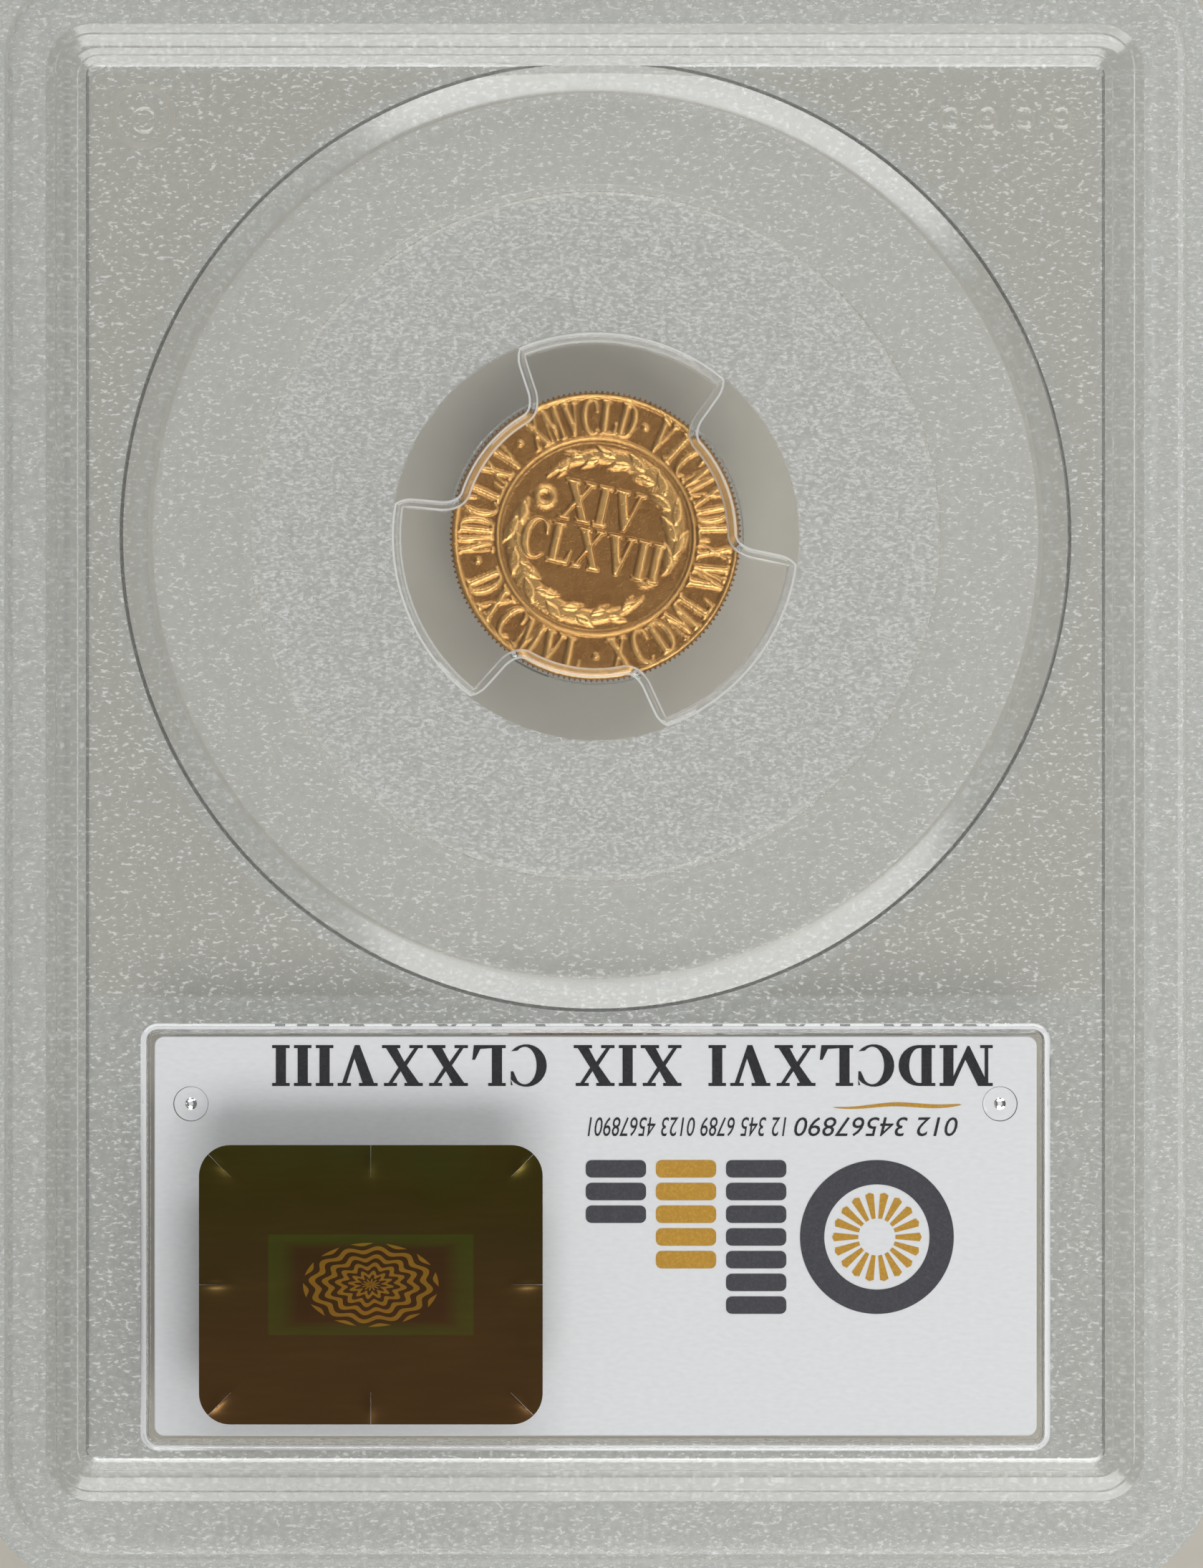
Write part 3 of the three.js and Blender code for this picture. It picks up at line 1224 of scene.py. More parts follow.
    def build(self) -> Piece:
        """Makes the half, dresses it and turns it into place.

        Returns:
            The finished piece.
        """
        steps = [(Cut.ADD, self.border_block()), (Cut.ADD, self.ridge_block())]
        if self.side is Side.FRONT:
            steps.append((Cut.TAKE, self.step_cutter()))
        steps += [(Cut.TAKE, self.field_cutter()), (Cut.ADD, self.window_block()),
                  (Cut.TAKE, self.dish_cutter()), (Cut.ADD, self.card_window())]
        steps += [(Cut.TAKE, tool) for tool in self.hollows() + self.card_space()]
        if self.side is Side.BACK:
            steps += self.pins() + self.mould_marks()
        body = carve(self.flange_plate(), steps)
        body.name = self.side.value + "_clear"
        mesh = body.data
        mesh.materials.clear()
        skin = PEBBLED if self.side is Side.BACK else UNDERSIDE_SKIN
        for finish in (POLISHED, skin, RIM_SKIN, EDGE_CLEAR, SEAM, FINE_FROST):
            mesh.materials.append(CLEAR[finish])
        for face in mesh.polygons:
            corners = [mesh.vertices[i].co for i in face.vertices]
            face.material_index = self.zone(corners, face.normal.z > 0.99).value
        soften(mesh)
        turn = Matrix.Identity(4) if self.side is Side.BACK else Matrix.Rotation(math.pi, 4, "Y")
        mesh.transform(Matrix.Scale(MM, 4) @ Matrix.Translation((0, 0, PARTING)) @ turn)
        return place(body, "clear_shell", self.side.value)


# ---------------------------------------------------------------------------------------
# Insert
# ---------------------------------------------------------------------------------------
@dataclass(frozen=True)
class InsertLoop:
    """One loop round the insert: its three-pronged opening, or a circle matched to it.

    Angles are in degrees. A prong runs from its root, where the opening is wide, over a
    rounded corner to its tip.
    """

    centre_y: float
    circle: float | None = None
    back: float = 0.0
    first: float = 21.3
    count: int = 3
    opening: float = 9.95
    tip: float = 6.75
    side: float = 8.0
    root_half: float = 30.2
    side_half: float = 29.4
    corner_half: float = 21.2

    def prong(self, steps: int) -> list[tuple[float, float]]:
        """Angle and radius along one prong.

        Args:
            steps: Number of points in each of its stretches.

        Returns:
            The pairs, from one root to the other.
        """
        shares = [i / steps for i in range(steps)]
        half = [(self.root_half + (self.side_half - self.root_half) * t,
                 self.opening + (self.side - self.opening) * t) for t in shares]
        for t in shares:
            start, pull, end = (1 - t) ** 2, 2 * t * (1 - t), t * t
            angle = start * self.side_half + pull * (self.side_half - 1.2) + end * self.corner_half
            radius = start * self.side + pull * (self.tip + 0.15) + end * self.tip
            half.append((angle, radius))
        tip = [(self.corner_half * (1 - 2 * i / (2 * steps)), self.tip) for i in range(2 * steps + 1)]
        left = [(-a, r) for a, r in half]
        return left + [(-a, r) for a, r in tip] + [(a, r) for a, r in reversed(half)]

    def base(self, steps: int) -> list[tuple[float, float]]:
        """Angle and radius round the whole opening.

        Args:
            steps: Number of points in each stretch of a prong.

        Returns:
            The pairs, all the way round.
        """
        found = []
        pitch = 360 / self.count
        for i in range(self.count):
            middle = self.first + i * pitch
            found += [(middle + a, r) for a, r in self.prong(steps)]
            gap = pitch - 2 * self.root_half
            found += [(middle + self.root_half + gap * k / (2 * steps), self.opening)
                      for k in range(1, 2 * steps)]
        return found

    def points(self, steps: int) -> list[Point2]:
        """Points of this loop, moved back into the plastic by its set-back.

        Args:
            steps: Number of points in each stretch of a prong.

        Returns:
            The points.
        """
        polar = self.base(steps)
        flat = np.array([(r * math.cos(math.radians(a)), r * math.sin(math.radians(a))) for a, r in polar])
        along = np.roll(flat, -1, 0) - np.roll(flat, 1, 0)
        for _ in range(4):
            along = (np.roll(along, 1, 0) + 2 * along + np.roll(along, -1, 0)) / 4
        along /= np.linalg.norm(along, axis=1)[:, None]
        outwards = np.stack([along[:, 1], -along[:, 0]], 1)
        moved = flat + outwards * self.back
        if self.circle is not None:
            moved *= self.circle / np.linalg.norm(moved, axis=1)[:, None]
        return [(float(x), float(y) + self.centre_y) for x, y in moved]


@dataclass
class CoinInsert:
    """Clear ring with three prongs whose rounded lips reach over the coin's rim."""

    frosted_from: float = 10.5
    edge_wide: float = 0.5
    edge_deep: float = 0.55
    groove_r: float = 7.62
    groove_half: float = 0.6
    steps: int = 12

    def levels(self, half: float, outer: float, y: float) -> list[tuple[InsertLoop, float]]:
        """Loops from the outer wall over the top, down the opening and back underneath.

        Args:
            half: Half of the insert's height.
            outer: Its outer radius.
            y: Its centre, along the holder.

        Returns:
            Pairs of a loop and its height.
        """
        def quarter(sign: int) -> list[tuple[InsertLoop, float]]:
            """The rounded lip above or below the coin.

            Args:
                sign: 1 for the lip above and -1 for the lip below.

            Returns:
                Pairs of a loop and its height.
            """
            found = []
            for i in range(8):
                turn = math.pi / 2 * i / 7
                back = self.edge_wide * (1 - math.sin(turn))
                height = sign * (half - self.edge_deep * (1 - math.cos(turn)))
                found.append((InsertLoop(y, back=back), height))
            return found
        rim = [(outer, half - 0.2), (outer - 0.06, half - 0.06), (outer - 0.2, half),
               (self.frosted_from, half)]
        wide = self.edge_wide
        top = [(InsertLoop(y, circle=r, back=wide), h) for r, h in rim]
        bottom = [(InsertLoop(y, circle=r, back=wide), -h) for r, h in reversed(rim)]
        return top + quarter(1) + list(reversed(quarter(-1))) + bottom

    def build(self) -> Piece:
        """Makes the insert.

        Returns:
            The finished piece.
        """
        low, high = corners_mm("coin_insert")
        middle = (low + high) / 2
        half, outer = (high.z - low.z) / 2, (high.x - low.x) / 2
        body = loft(self.levels(half, outer, middle.y), self.steps, ring=True)
        chamfer = 0.1
        wide, narrow = (Ring(self.groove_r - inset, 0, middle.y) for inset in (0, chamfer))
        groove = [(narrow, -self.groove_half), (wide, -self.groove_half + chamfer),
                  (wide, self.groove_half - chamfer), (narrow, self.groove_half)]
        body = carve(body, [(Cut.TAKE, loft(groove, 48))])
        body.name = "coin_insert_clear"
        mesh = body.data
        mesh.materials.clear()
        finishes = (INSERT_CLEAR, FROSTED, LIP_HIGHLIGHT)
        for finish in finishes:
            mesh.materials.append(CLEAR[finish])
        for face in mesh.polygons:
            away = math.hypot(face.center.x, face.center.y - middle.y)
            drop = half - abs(face.center.z)
            # Bands of the upper lip get the milky plastic, painted as highlight lines.
            on_lip = face.center.z > 0 and (0.003 < drop < 0.012 or 0.2 < drop < self.edge_deep)
            skin = INSERT_CLEAR
            if away > self.frosted_from:
                skin = FROSTED if abs(face.normal.z) > 0.99 and drop < 0.01 else INSERT_CLEAR
            elif on_lip:
                skin = LIP_HIGHLIGHT
            face.material_index = finishes.index(skin)
        soften(mesh)
        mesh.transform(Matrix.Scale(MM, 4) @ Matrix.Translation((0, 0, middle.z)))
        return place(body, "clear_insert", "coin_insert")


# ---------------------------------------------------------------------------------------
# Numerals
# ---------------------------------------------------------------------------------------
@dataclass(frozen=True)
class RomanNumerals:
    """Serif Roman numerals, drawn at a height of 1."""

    stem: float = 0.25
    serif: float = 0.075
    over: float = 0.09

    @staticmethod
    def bow(cx: float, rx: float, ry: float, start: float, end: float, steps: int = 12) -> list[Point2]:
        """Points on an ellipse about mid height.

        Args:
            cx: Its centre, across.
            rx: Its half width.
            ry: Its half height.
            start: The first point's angle, in degrees.
            end: The last point's angle.
            steps: Number of steps.

        Returns:
            The points.
        """
        turns = [math.radians(start + (end - start) * k / steps) for k in range(steps + 1)]
        return [(cx + rx * math.cos(t), 0.5 + ry * math.sin(t)) for t in turns]

    def glyph(self, letter: str) -> Glyph:
        """One numeral.

        Args:
            letter: Its capital letter.

        Returns:
            Its width and outlines.
        """
        s, t, o = self.serif, 1 - self.serif, self.over
        a, w = o + self.stem, 2 * o + self.stem
        return {
            "I": (w, [[(0, 0), (w, 0), (w, s), (a, s), (a, t), (w, t), (w, 1), (0, 1), (0, t), (o, t), (o, s),
                       (0, s)]]),
            "V": (0.98, [[(0, 1), (0.46, 1), (0.46, t), (0.37, t), (0.57, 0.33), (0.76, t), (0.65, t),
                          (0.65, 1), (0.98, 1), (0.98, t), (0.87, t), (0.56, 0), (0.44, 0), (0.09, t),
                          (0, t)]]),
            "X": (1.0, [[(0, 1), (0.45, 1), (0.45, t), (0.38, t), (0.54, 0.64), (0.74, t), (0.63, t),
                         (0.63, 1), (0.95, 1), (0.95, t), (0.84, t), (0.60, 0.55), (0.90, s), (1, s), (1, 0),
                         (0.55, 0), (0.55, s), (0.63, s), (0.45, 0.41), (0.21, s), (0.33, s), (0.33, 0),
                         (0, 0), (0, s), (0.11, s), (0.39, 0.50), (0.09, t), (0, t)]]),
            "L": (0.82, [[(0, 0), (0.78, 0), (0.82, 0.36), (0.75, 0.36), (0.62, s + 0.02), (a, s), (a, t),
                          (w, t), (w, 1), (0, 1), (0, t), (o, t), (o, s), (0, s)]]),
            "C": (0.9, [[(0.88, 0.64), (0.88, 0.98), (0.83, 0.98), *self.bow(0.5, 0.5, 0.52, 40, 318, 20),
                         *self.bow(0.54, 0.29, 0.46, 308, 52, 20), (0.82, 0.64)]]),
            "D": (0.9, [[(0, 0), *self.bow(0.42, 0.48, 0.5, -90, 90), (0, 1), (0, t), (o, t), (o, s), (0, s)],
                        [(a, s), *self.bow(0.40, 0.24, 0.5 - s, -90, 90), (a, t)]]),
            "M": (1.3, [[(0, 1), (0.36, 1), (0.67, 0.36), (0.96, 1), (1.3, 1), (1.3, t), (1.21, t),
                         (1.21, s), (1.3, s), (1.3, 0), (0.87, 0), (0.87, s), (0.96, s), (0.96, 0.76),
                         (0.62, 0.02), (0.57, 0.02), (0.2, 0.78), (0.2, s), (0.31, s), (0.31, 0), (0, 0),
                         (0, s), (0.11, s), (0.11, t), (0, t)]]),
        }[letter]

    def line(self, text: str, width: float, height: float) -> list[list[Point2]]:
        """Outlines of a line of numerals that fills a width exactly.

        Args:
            text: Numerals and spaces.
            width: Width of the whole line.
            height: Height of the numerals.

        Returns:
            Loops with their lower left corner at the origin.
        """
        gap, least = 0.45, 0.06
        widths = [self.glyph(c)[0] if c != " " else gap for c in text]
        stretch = 1.0
        room = (width / height - sum(widths)) / (len(text) - 1)
        if room < least:
            stretch = (width / height - least * (len(text) - 1)) / sum(widths)
            room = least
        loops, at = [], 0.0
        for letter, wide in zip(text, widths):
            if letter != " ":
                for loop in self.glyph(letter)[1]:
                    loops.append([((at + x * stretch) * height, y * height) for x, y in loop])
            at += wide * stretch + room
        return loops


NUMERALS = RomanNumerals()


def close_up(mesh: Mesh) -> None:
    """Merges the doubled points of a mesh and turns its faces outwards.

    Args:
        mesh: The mesh to repair.
    """
    shape = bmesh.new()
    shape.from_mesh(mesh)
    bmesh.ops.remove_doubles(shape, verts=shape.verts, dist=1e-5)
    bmesh.ops.dissolve_degenerate(shape, edges=shape.edges, dist=1e-6)
    bmesh.ops.recalc_face_normals(shape, faces=shape.faces)
    shape.to_mesh(mesh)
    shape.free()


def filled(loops: Loops, low: float, high: float) -> Piece:
    """A thin solid from flat outlines, with inner outlines left open.

    Args:
        loops: Closed outlines.
        low: Height of its underside.
        high: Height of its top.

    Returns:
        The solid.
    """
    curve = bpy.data.curves.new("outline", "CURVE")
    curve.dimensions = "2D"
    curve.fill_mode = "BOTH"
    curve.extrude = (high - low) / 2
    for loop in loops:
        spline = curve.splines.new("POLY")
        spline.points.add(len(loop) - 1)
        for point, (x, y) in zip(spline.points, loop):
            point.co = (x, y, 0, 1)
        spline.use_cyclic_u = True
    made = plain_copy(new_object("outline", curve), "outline")
    made.data.transform(Matrix.Translation((0, 0, (low + high) / 2)))
    close_up(made.data)
    return made


def digits(text: str, width: float, height: float, low: float, high: float, lean: float) -> Piece:
    """A line of plain digits as a thin solid that fills a width.

    Args:
        text: Digits and spaces.
        width: Width of the line.
        height: Height of the digits.
        low: Height of its underside.
        high: Height of its top.
        lean: Slope of the digits.

    Returns:
        The solid, with its lower left corner at the origin.
    """
    curve = bpy.data.curves.new("digits", "FONT")
    curve.body = text
    curve.shear = lean
    curve.extrude = 0.5
    curve.resolution_u = 3
    made = plain_copy(new_object("digits", curve), "digits")
    points = np.array([v.co for v in made.data.vertices])
    least, most = points.min(0), points.max(0)
    fit = Matrix.Diagonal((width / (most[0] - least[0]), height / (most[1] - least[1]),
                           (high - low) / (most[2] - least[2]), 1))
    made.data.transform(fit @ Matrix.Translation(-Vector(least)))
    made.data.transform(Matrix.Translation((0, 0, low)))
    close_up(made.data)
    return made


# ---------------------------------------------------------------------------------------
# Coin
# ---------------------------------------------------------------------------------------
@dataclass
class ReliefMap:
    """A height map over one face of the coin, built from shapes in the coin's own plane."""

    reach: float = 7.6
    count: int = 1300

    def __post_init__(self) -> None:
        """Lays out the map's grid."""
        self.step = 2 * self.reach / (self.count - 1)
        line = np.linspace(-self.reach, self.reach, self.count)
        self.x, self.y = np.meshgrid(line, line)
        self.r = np.hypot(self.x, self.y)
        self.height = np.zeros_like(self.x)

    def mask(self, loops: Loops) -> np.ndarray:
        """Fills outlines by the even-odd rule.

        Args:
            loops: Closed outlines in the coin's plane.

        Returns:
            1 inside and 0 outside, over the whole grid.
        """
        found = np.zeros(self.x.shape, bool)
        for loop in loops:
            points = np.array(loop)
            low = np.clip(((points.min(0) + self.reach) / self.step).astype(int) - 1, 0, self.count - 1)
            high = np.clip(((points.max(0) + self.reach) / self.step).astype(int) + 2, 0, self.count)
            window = (slice(low[1], high[1]), slice(low[0], high[0]))
            px, py = self.x[window], self.y[window]
            inside = np.zeros(px.shape, bool)
            for (x0, y0), (x1, y1) in zip(points, np.roll(points, -1, 0)):
                if y0 == y1:
                    continue
                spans = (py < y0) != (py < y1)
                inside ^= spans & (px < (x1 - x0) * (py - y0) / (y1 - y0) + x0)
            found[window] ^= inside
        return found.astype(float)

    def blurred(self, values: np.ndarray, sigma: float) -> np.ndarray:
        """Smooths values over the grid.

        Args:
            values: The values to smooth.
            sigma: Width of the Gaussian, in millimetres.

        Returns:
            The smoothed values.
        """
        rate = np.fft.fftfreq(self.count, self.step)
        keep = np.exp(-2 * (math.pi * sigma) ** 2 * (rate[:, None] ** 2 + rate[None, :] ** 2))
        return np.real(np.fft.ifft2(np.fft.fft2(values) * keep))

    def raise_shape(self, shape: np.ndarray, height: float, crisp: float = 0.035,
                    full: float = 0.11) -> None:
        """Adds a shape with steep sides and a softly crowned top.

        Args:
            shape: The shape's mask.
            height: How far it stands up.
            crisp: Blur of its sides.
            full: Blur that crowns its top.
        """
        sides = self.blurred(shape, crisp)
        crown = self.blurred(shape, full)
        self.height += height * (0.6 * sides + 0.4 * sides * crown)

    def raise_line(self, radius: float, width: float, height: float) -> None:
        """Adds a thin round line.

        Args:
            radius: Radius of the line.
            width: Half of its width.
            height: How far it stands up.
        """
        self.height += height * np.exp(-((self.r - radius) / width) ** 2)

    def at(self, x: np.ndarray, y: np.ndarray) -> np.ndarray:
        """Heights at points, blended between the map's nodes.

        Args:
            x: The points, across.
            y: The points, along.

        Returns:
            One height for each.
        """
        u = np.clip((x + self.reach) / self.step, 0, self.count - 1.001)
        v = np.clip((y + self.reach) / self.step, 0, self.count - 1.001)
        i, j = u.astype(int), v.astype(int)
        a, b = u - i, v - j
        h = self.height
        return ((1 - a) * (1 - b) * h[j, i] + a * (1 - b) * h[j, i + 1]
                + (1 - a) * b * h[j + 1, i] + a * b * h[j + 1, i + 1])


def turned(loops: Loops, degrees: float, dx: float = 0.0, dy: float = 0.0) -> list[list[Point2]]:
    """Outlines moved and then turned about the origin.

    Args:
        loops: The outlines.
        degrees: Turn, counter-clockwise.
        dx: Move across, before the turn.
        dy: Move along, before the turn.

    Returns:
        The new outlines.
    """
    c, s = math.cos(math.radians(degrees)), math.sin(math.radians(degrees))
    return [[((x + dx) * c - (y + dy) * s, (x + dx) * s + (y + dy) * c) for x, y in loop] for loop in loops]


@dataclass(frozen=True)
class Reed:
    """Cross-section of one reed, drawn back by a share at its ends."""

    depth: float
    half: float
    share: float = 1.0

    def points(self, _: int) -> list[Point2]:
        """The section's corners, with its outward side along +X.

        Args:
            _: Not used, because a reed has few corners.

        Returns:
            The corners, counter-clockwise.
        """
        out, flank = self.depth * self.share, 0.7 * self.depth * self.share
        return [(-0.05, -self.half), (flank, -0.55 * self.half), (out, 0), (flank, 0.55 * self.half),
                (-0.05, self.half)]


@dataclass
class StruckCoin:
    """Small gold coin: a ring of numerals round a value between two crescent sprays."""

    art_turn: float = -12.5
    body_r: float = 7.38
    rim_in: float = 7.1
    rim_high: float = 0.135
    relief: float = 0.125
    ring_r: float = 5.06
    numerals_low: float = 5.24
    numerals_high: float = 7.04
    outer_r: float = 7.5
    reeds: int = 165
    sectors: int = 560

    def ring_of_numerals(self, chart: ReliefMap, text: str, start: float, end: float, outwards: bool) -> None:
        """Sets numerals along an arc.

        Args:
            chart: The map to raise them on.
            text: The numerals, one after another, with dots between groups.
            start: Angle of the first, in degrees.
            end: Angle of the last.
            outwards: True if their heads point away from the centre.
        """
        tall = self.numerals_high - self.numerals_low
        pitch = math.radians(abs(end - start) / (len(text) - 1)) * (self.numerals_low + tall / 2)
        loops = []
        for k, letter in enumerate(text):
            angle = start + (end - start) * k / (len(text) - 1)
            if letter == ".":
                dot = [[(0.16 * math.cos(t), 0.16 * math.sin(t)) for t in np.linspace(0, 6.2, 12)]]
                loops += turned(dot, angle - 90, 0, 6.15)
                continue
            wide, shapes = NUMERALS.glyph(letter)
            squeeze = min(pitch * 0.92 / wide, tall * 0.62)
            flip = 1 if outwards else -1
            base = self.numerals_low if outwards else self.numerals_high
            placed = [[((x - wide / 2) * squeeze * flip, base + y * tall * flip) for x, y in shape]
                      for shape in shapes]
            loops += turned(placed, angle - 90)
        chart.raise_shape(chart.mask(loops), self.relief)

    def spray(self, chart: ReliefMap, turn: float) -> None:
        """Raises one crescent spray: a curved stem with overlapping leaves and a curled end.

        Args:
            chart: The map to raise it on.
            turn: Angle of the spray's middle, in degrees.
        """
        angle = np.degrees(np.arctan2(chart.y, chart.x))
        along = (angle - turn + 180) % 360 - 180
        share = np.clip((along + 80) / 160, 0, 1)
        spine = 3.95 + 0.25 * np.sin(math.pi * share)
        half = 0.62 * np.sin(math.pi * share) ** 0.5 * (1.15 - 0.6 * share)
        reach = (chart.r - spine) / np.maximum(half, 1e-3)
        body = np.clip(1 - reach ** 2, 0, 1) ** 0.5 * (np.abs(along) < 80)
        chart.height += 0.75 * self.relief * chart.blurred(body, 0.04)
        leaf = [(-0.75, 0), (-0.35, 0.2), (0.1, 0.27), (0.5, 0.15), (0.85, 0), (0.5, -0.15), (0.1, -0.27),
                (-0.35, -0.2)]
        for k in range(13):
            where, side = -66 + 11 * k, 1 if k % 2 else -1
            size = 1.05 - 0.035 * k
            placed = turned([[(x * size, y * size) for x, y in leaf]], 90 - side * 24)
            placed = turned(placed, turn + where, 4.08 + 0.3 * side)
            chart.raise_shape(chart.mask(placed), 0.62 * self.relief, 0.03, 0.12)
        curl = np.hypot(chart.x - 3.3 * math.cos(math.radians(turn - 88)),
                        chart.y - 3.3 * math.sin(math.radians(turn - 88)))
        chart.height += 0.8 * self.relief * np.exp(-((curl - 0.42) / 0.17) ** 2)

    def centre_value(self, chart: ReliefMap) -> None:
        """Raises the two lines of numerals in the middle, tilted with the rest of the design.

        Args:
            chart: The map to raise them on.
        """
        upper = turned(NUMERALS.line("XIV", 4.2, 2.05), self.art_turn, -2.1, 0.55)
        lower = turned(NUMERALS.line("CLXVII", 7.3, 2.05), self.art_turn, -3.7, -1.72)
        shape = np.clip(chart.mask(upper) + chart.mask(lower), 0, 1)
        chart.height *= 1 - np.clip(1.8 * chart.blurred(shape, 0.28), 0, 0.85)
        chart.raise_shape(shape, self.relief * 1.15, 0.03, 0.14)

    def edge_profile(self, chart: ReliefMap) -> None:
        """Adds the raised rim.

        Args:
            chart: The map to raise it on.
        """
        chart.height *= 1 - np.clip((chart.r - self.rim_in) / 0.05, 0, 1)
        chart.height += self.rim_high * np.exp(-((chart.r - self.rim_in - 0.12) / 0.11) ** 2)

    def upper_map(self) -> ReliefMap:
        """Relief of the face that shows at the holder's back.

        Returns:
            The map.
        """
        chart = ReliefMap()
        self.spray(chart, 62 + self.art_turn)
        self.spray(chart, 242 + self.art_turn)
        self.centre_value(chart)
        self.ring_of_numerals(chart, "MDCLXV.XMVCLD.VICMXDLXV", 196 + self.art_turn, -4 + self.art_turn, True)
        self.ring_of_numerals(chart, ".DXCMVL.XCDMLV", 204 + self.art_turn, 350 + self.art_turn, False)
        chart.raise_line(self.ring_r, 0.07, self.relief * 0.8)
        chart.raise_line(self.ring_r - 0.2, 0.05, self.relief * 0.25)
        self.edge_profile(chart)
        return chart

    def lower_map(self) -> ReliefMap:
        """Relief of the other face: an open wreath round one large numeral.

        Returns:
            The map.
        """
        chart = ReliefMap(count=900)
        for turn in range(0, 360, 12):
            if 70 < turn < 110:
                continue
            leaf = [(0.26 * math.sin(t), 0.95 * math.cos(t)) for t in np.linspace(0, 6.1, 18)]
            for lean in (-38, 38):
                placed = turned(turned([leaf], lean), turn - 90, 0.28 * lean / 38, 5.1)
                chart.raise_shape(chart.mask(placed), self.relief * 0.8)
        tall = [[(x - 0.5, y - 0.5) for x, y in loop] for loop in NUMERALS.glyph("X")[1]]
        chart.raise_shape(chart.mask([[(4.6 * x, 4.8 * y) for x, y in loop] for loop in tall]), self.relief)
        chart.raise_line(3.9, 0.06, self.relief * 0.5)
        self.edge_profile(chart)
        return chart

    def face_points(self, chart: ReliefMap, field_z: float, sign: int,
                    rings: int) -> tuple[np.ndarray, np.ndarray]:
        """Points of one face, from the middle out to the edge.

        Args:
            chart: The face's relief.
            field_z: Height of the flat field from the coin's middle.
            sign: 1 for the upper face and -1 for the lower.
            rings: Number of rings.

        Returns:
            The points and their relief from 0 to 1.
        """
        radii = np.linspace(0.03, self.body_r, rings)
        turns = np.linspace(0, 2 * math.pi, self.sectors, endpoint=False)
        r, t = np.meshgrid(radii, turns, indexing="ij")
        x, y = r * np.cos(t), r * np.sin(t)
        height = np.minimum(chart.at(x, y), self.rim_high + 0.012)
        height -= 0.06 * np.clip((r - (self.body_r - 0.06)) / 0.06, 0, 1) ** 2
        points = np.stack([x, y, sign * (field_z + height)], -1)
        return points, height / (self.relief * 1.3)

    def blank(self, thickness: float) -> Piece:
        """The struck coin without its reeds, about the origin.

        Args:
            thickness: Thickness of the coin.

        Returns:
            The closed blank, with its relief as an attribute.
        """
        field_z = thickness / 2 - self.rim_high - 0.015
        upper, upper_relief = self.face_points(self.upper_map(), field_z, 1, 130)
        lower, lower_relief = self.face_points(self.lower_map(), field_z, -1, 30)
        loops = np.concatenate([upper, lower[::-1]])
        relief = np.concatenate([upper_relief, lower_relief[::-1]])
        rings, sectors = loops.shape[:2]
        index = np.arange(rings * sectors).reshape(rings, sectors)
        turned_index = np.roll(index, -1, 1)
        quads = np.stack([index[:-1], index[1:], turned_index[1:], turned_index[:-1]], -1).reshape(-1, 4)
        mesh = bpy.data.meshes.new("coin_blank")
        faces = quads.tolist() + [index[0].tolist(), index[-1][::-1].tolist()]
        mesh.from_pydata(loops.reshape(-1, 3).tolist(), [], faces)
        mesh.attributes.new("relief", "FLOAT", "POINT").data.foreach_set(
            "value", np.clip(relief, 0, 1).astype(np.float32).ravel())
        mesh.shade_smooth()
        return new_object("coin_blank", mesh)

    def reeding(self, thickness: float, material: Material) -> Piece:
        """Upright reeds round the edge.

        Args:
            thickness: Thickness of the coin.
            material: Finish of the reeds.

        Returns:
            The reeds as one mesh.
        """
        tall = thickness / 2 - 0.1
        size = (self.outer_r - self.body_r + 0.03, math.pi * self.body_r / self.reeds * 0.62)
        full, end = Reed(*size), Reed(*size, 0.2)
        one = loft([(end, -tall - 0.03), (full, -tall + 0.06), (full, tall - 0.06), (end, tall + 0.03)], 1)
        return copies_round(one, self.reeds, self.body_r - 0.03, material, "coin_reeds")

    def build(self) -> Piece:
        """Makes the coin.

        Returns:
            The finished piece.
        """
        low, high = corners_mm("coin")
        middle = (low + high) / 2
        material = StruckGold().build()
        blank = self.blank(high.z - low.z)
        blank.data.materials.append(material)
        coin = joined("coin_struck", [blank, self.reeding(high.z - low.z, material)])
        coin.data.transform(Matrix.Scale(MM, 4) @ Matrix.Translation(middle))
        return place(coin, "coin_gold", "coin")


# ---------------------------------------------------------------------------------------
# Card
# ---------------------------------------------------------------------------------------
class Print(Enum):
    """The two printed sides of the card, as the signs that turn a layout onto each."""

    BACK = (-1, -1, 1)
    FRONT = (1, -1, -1)


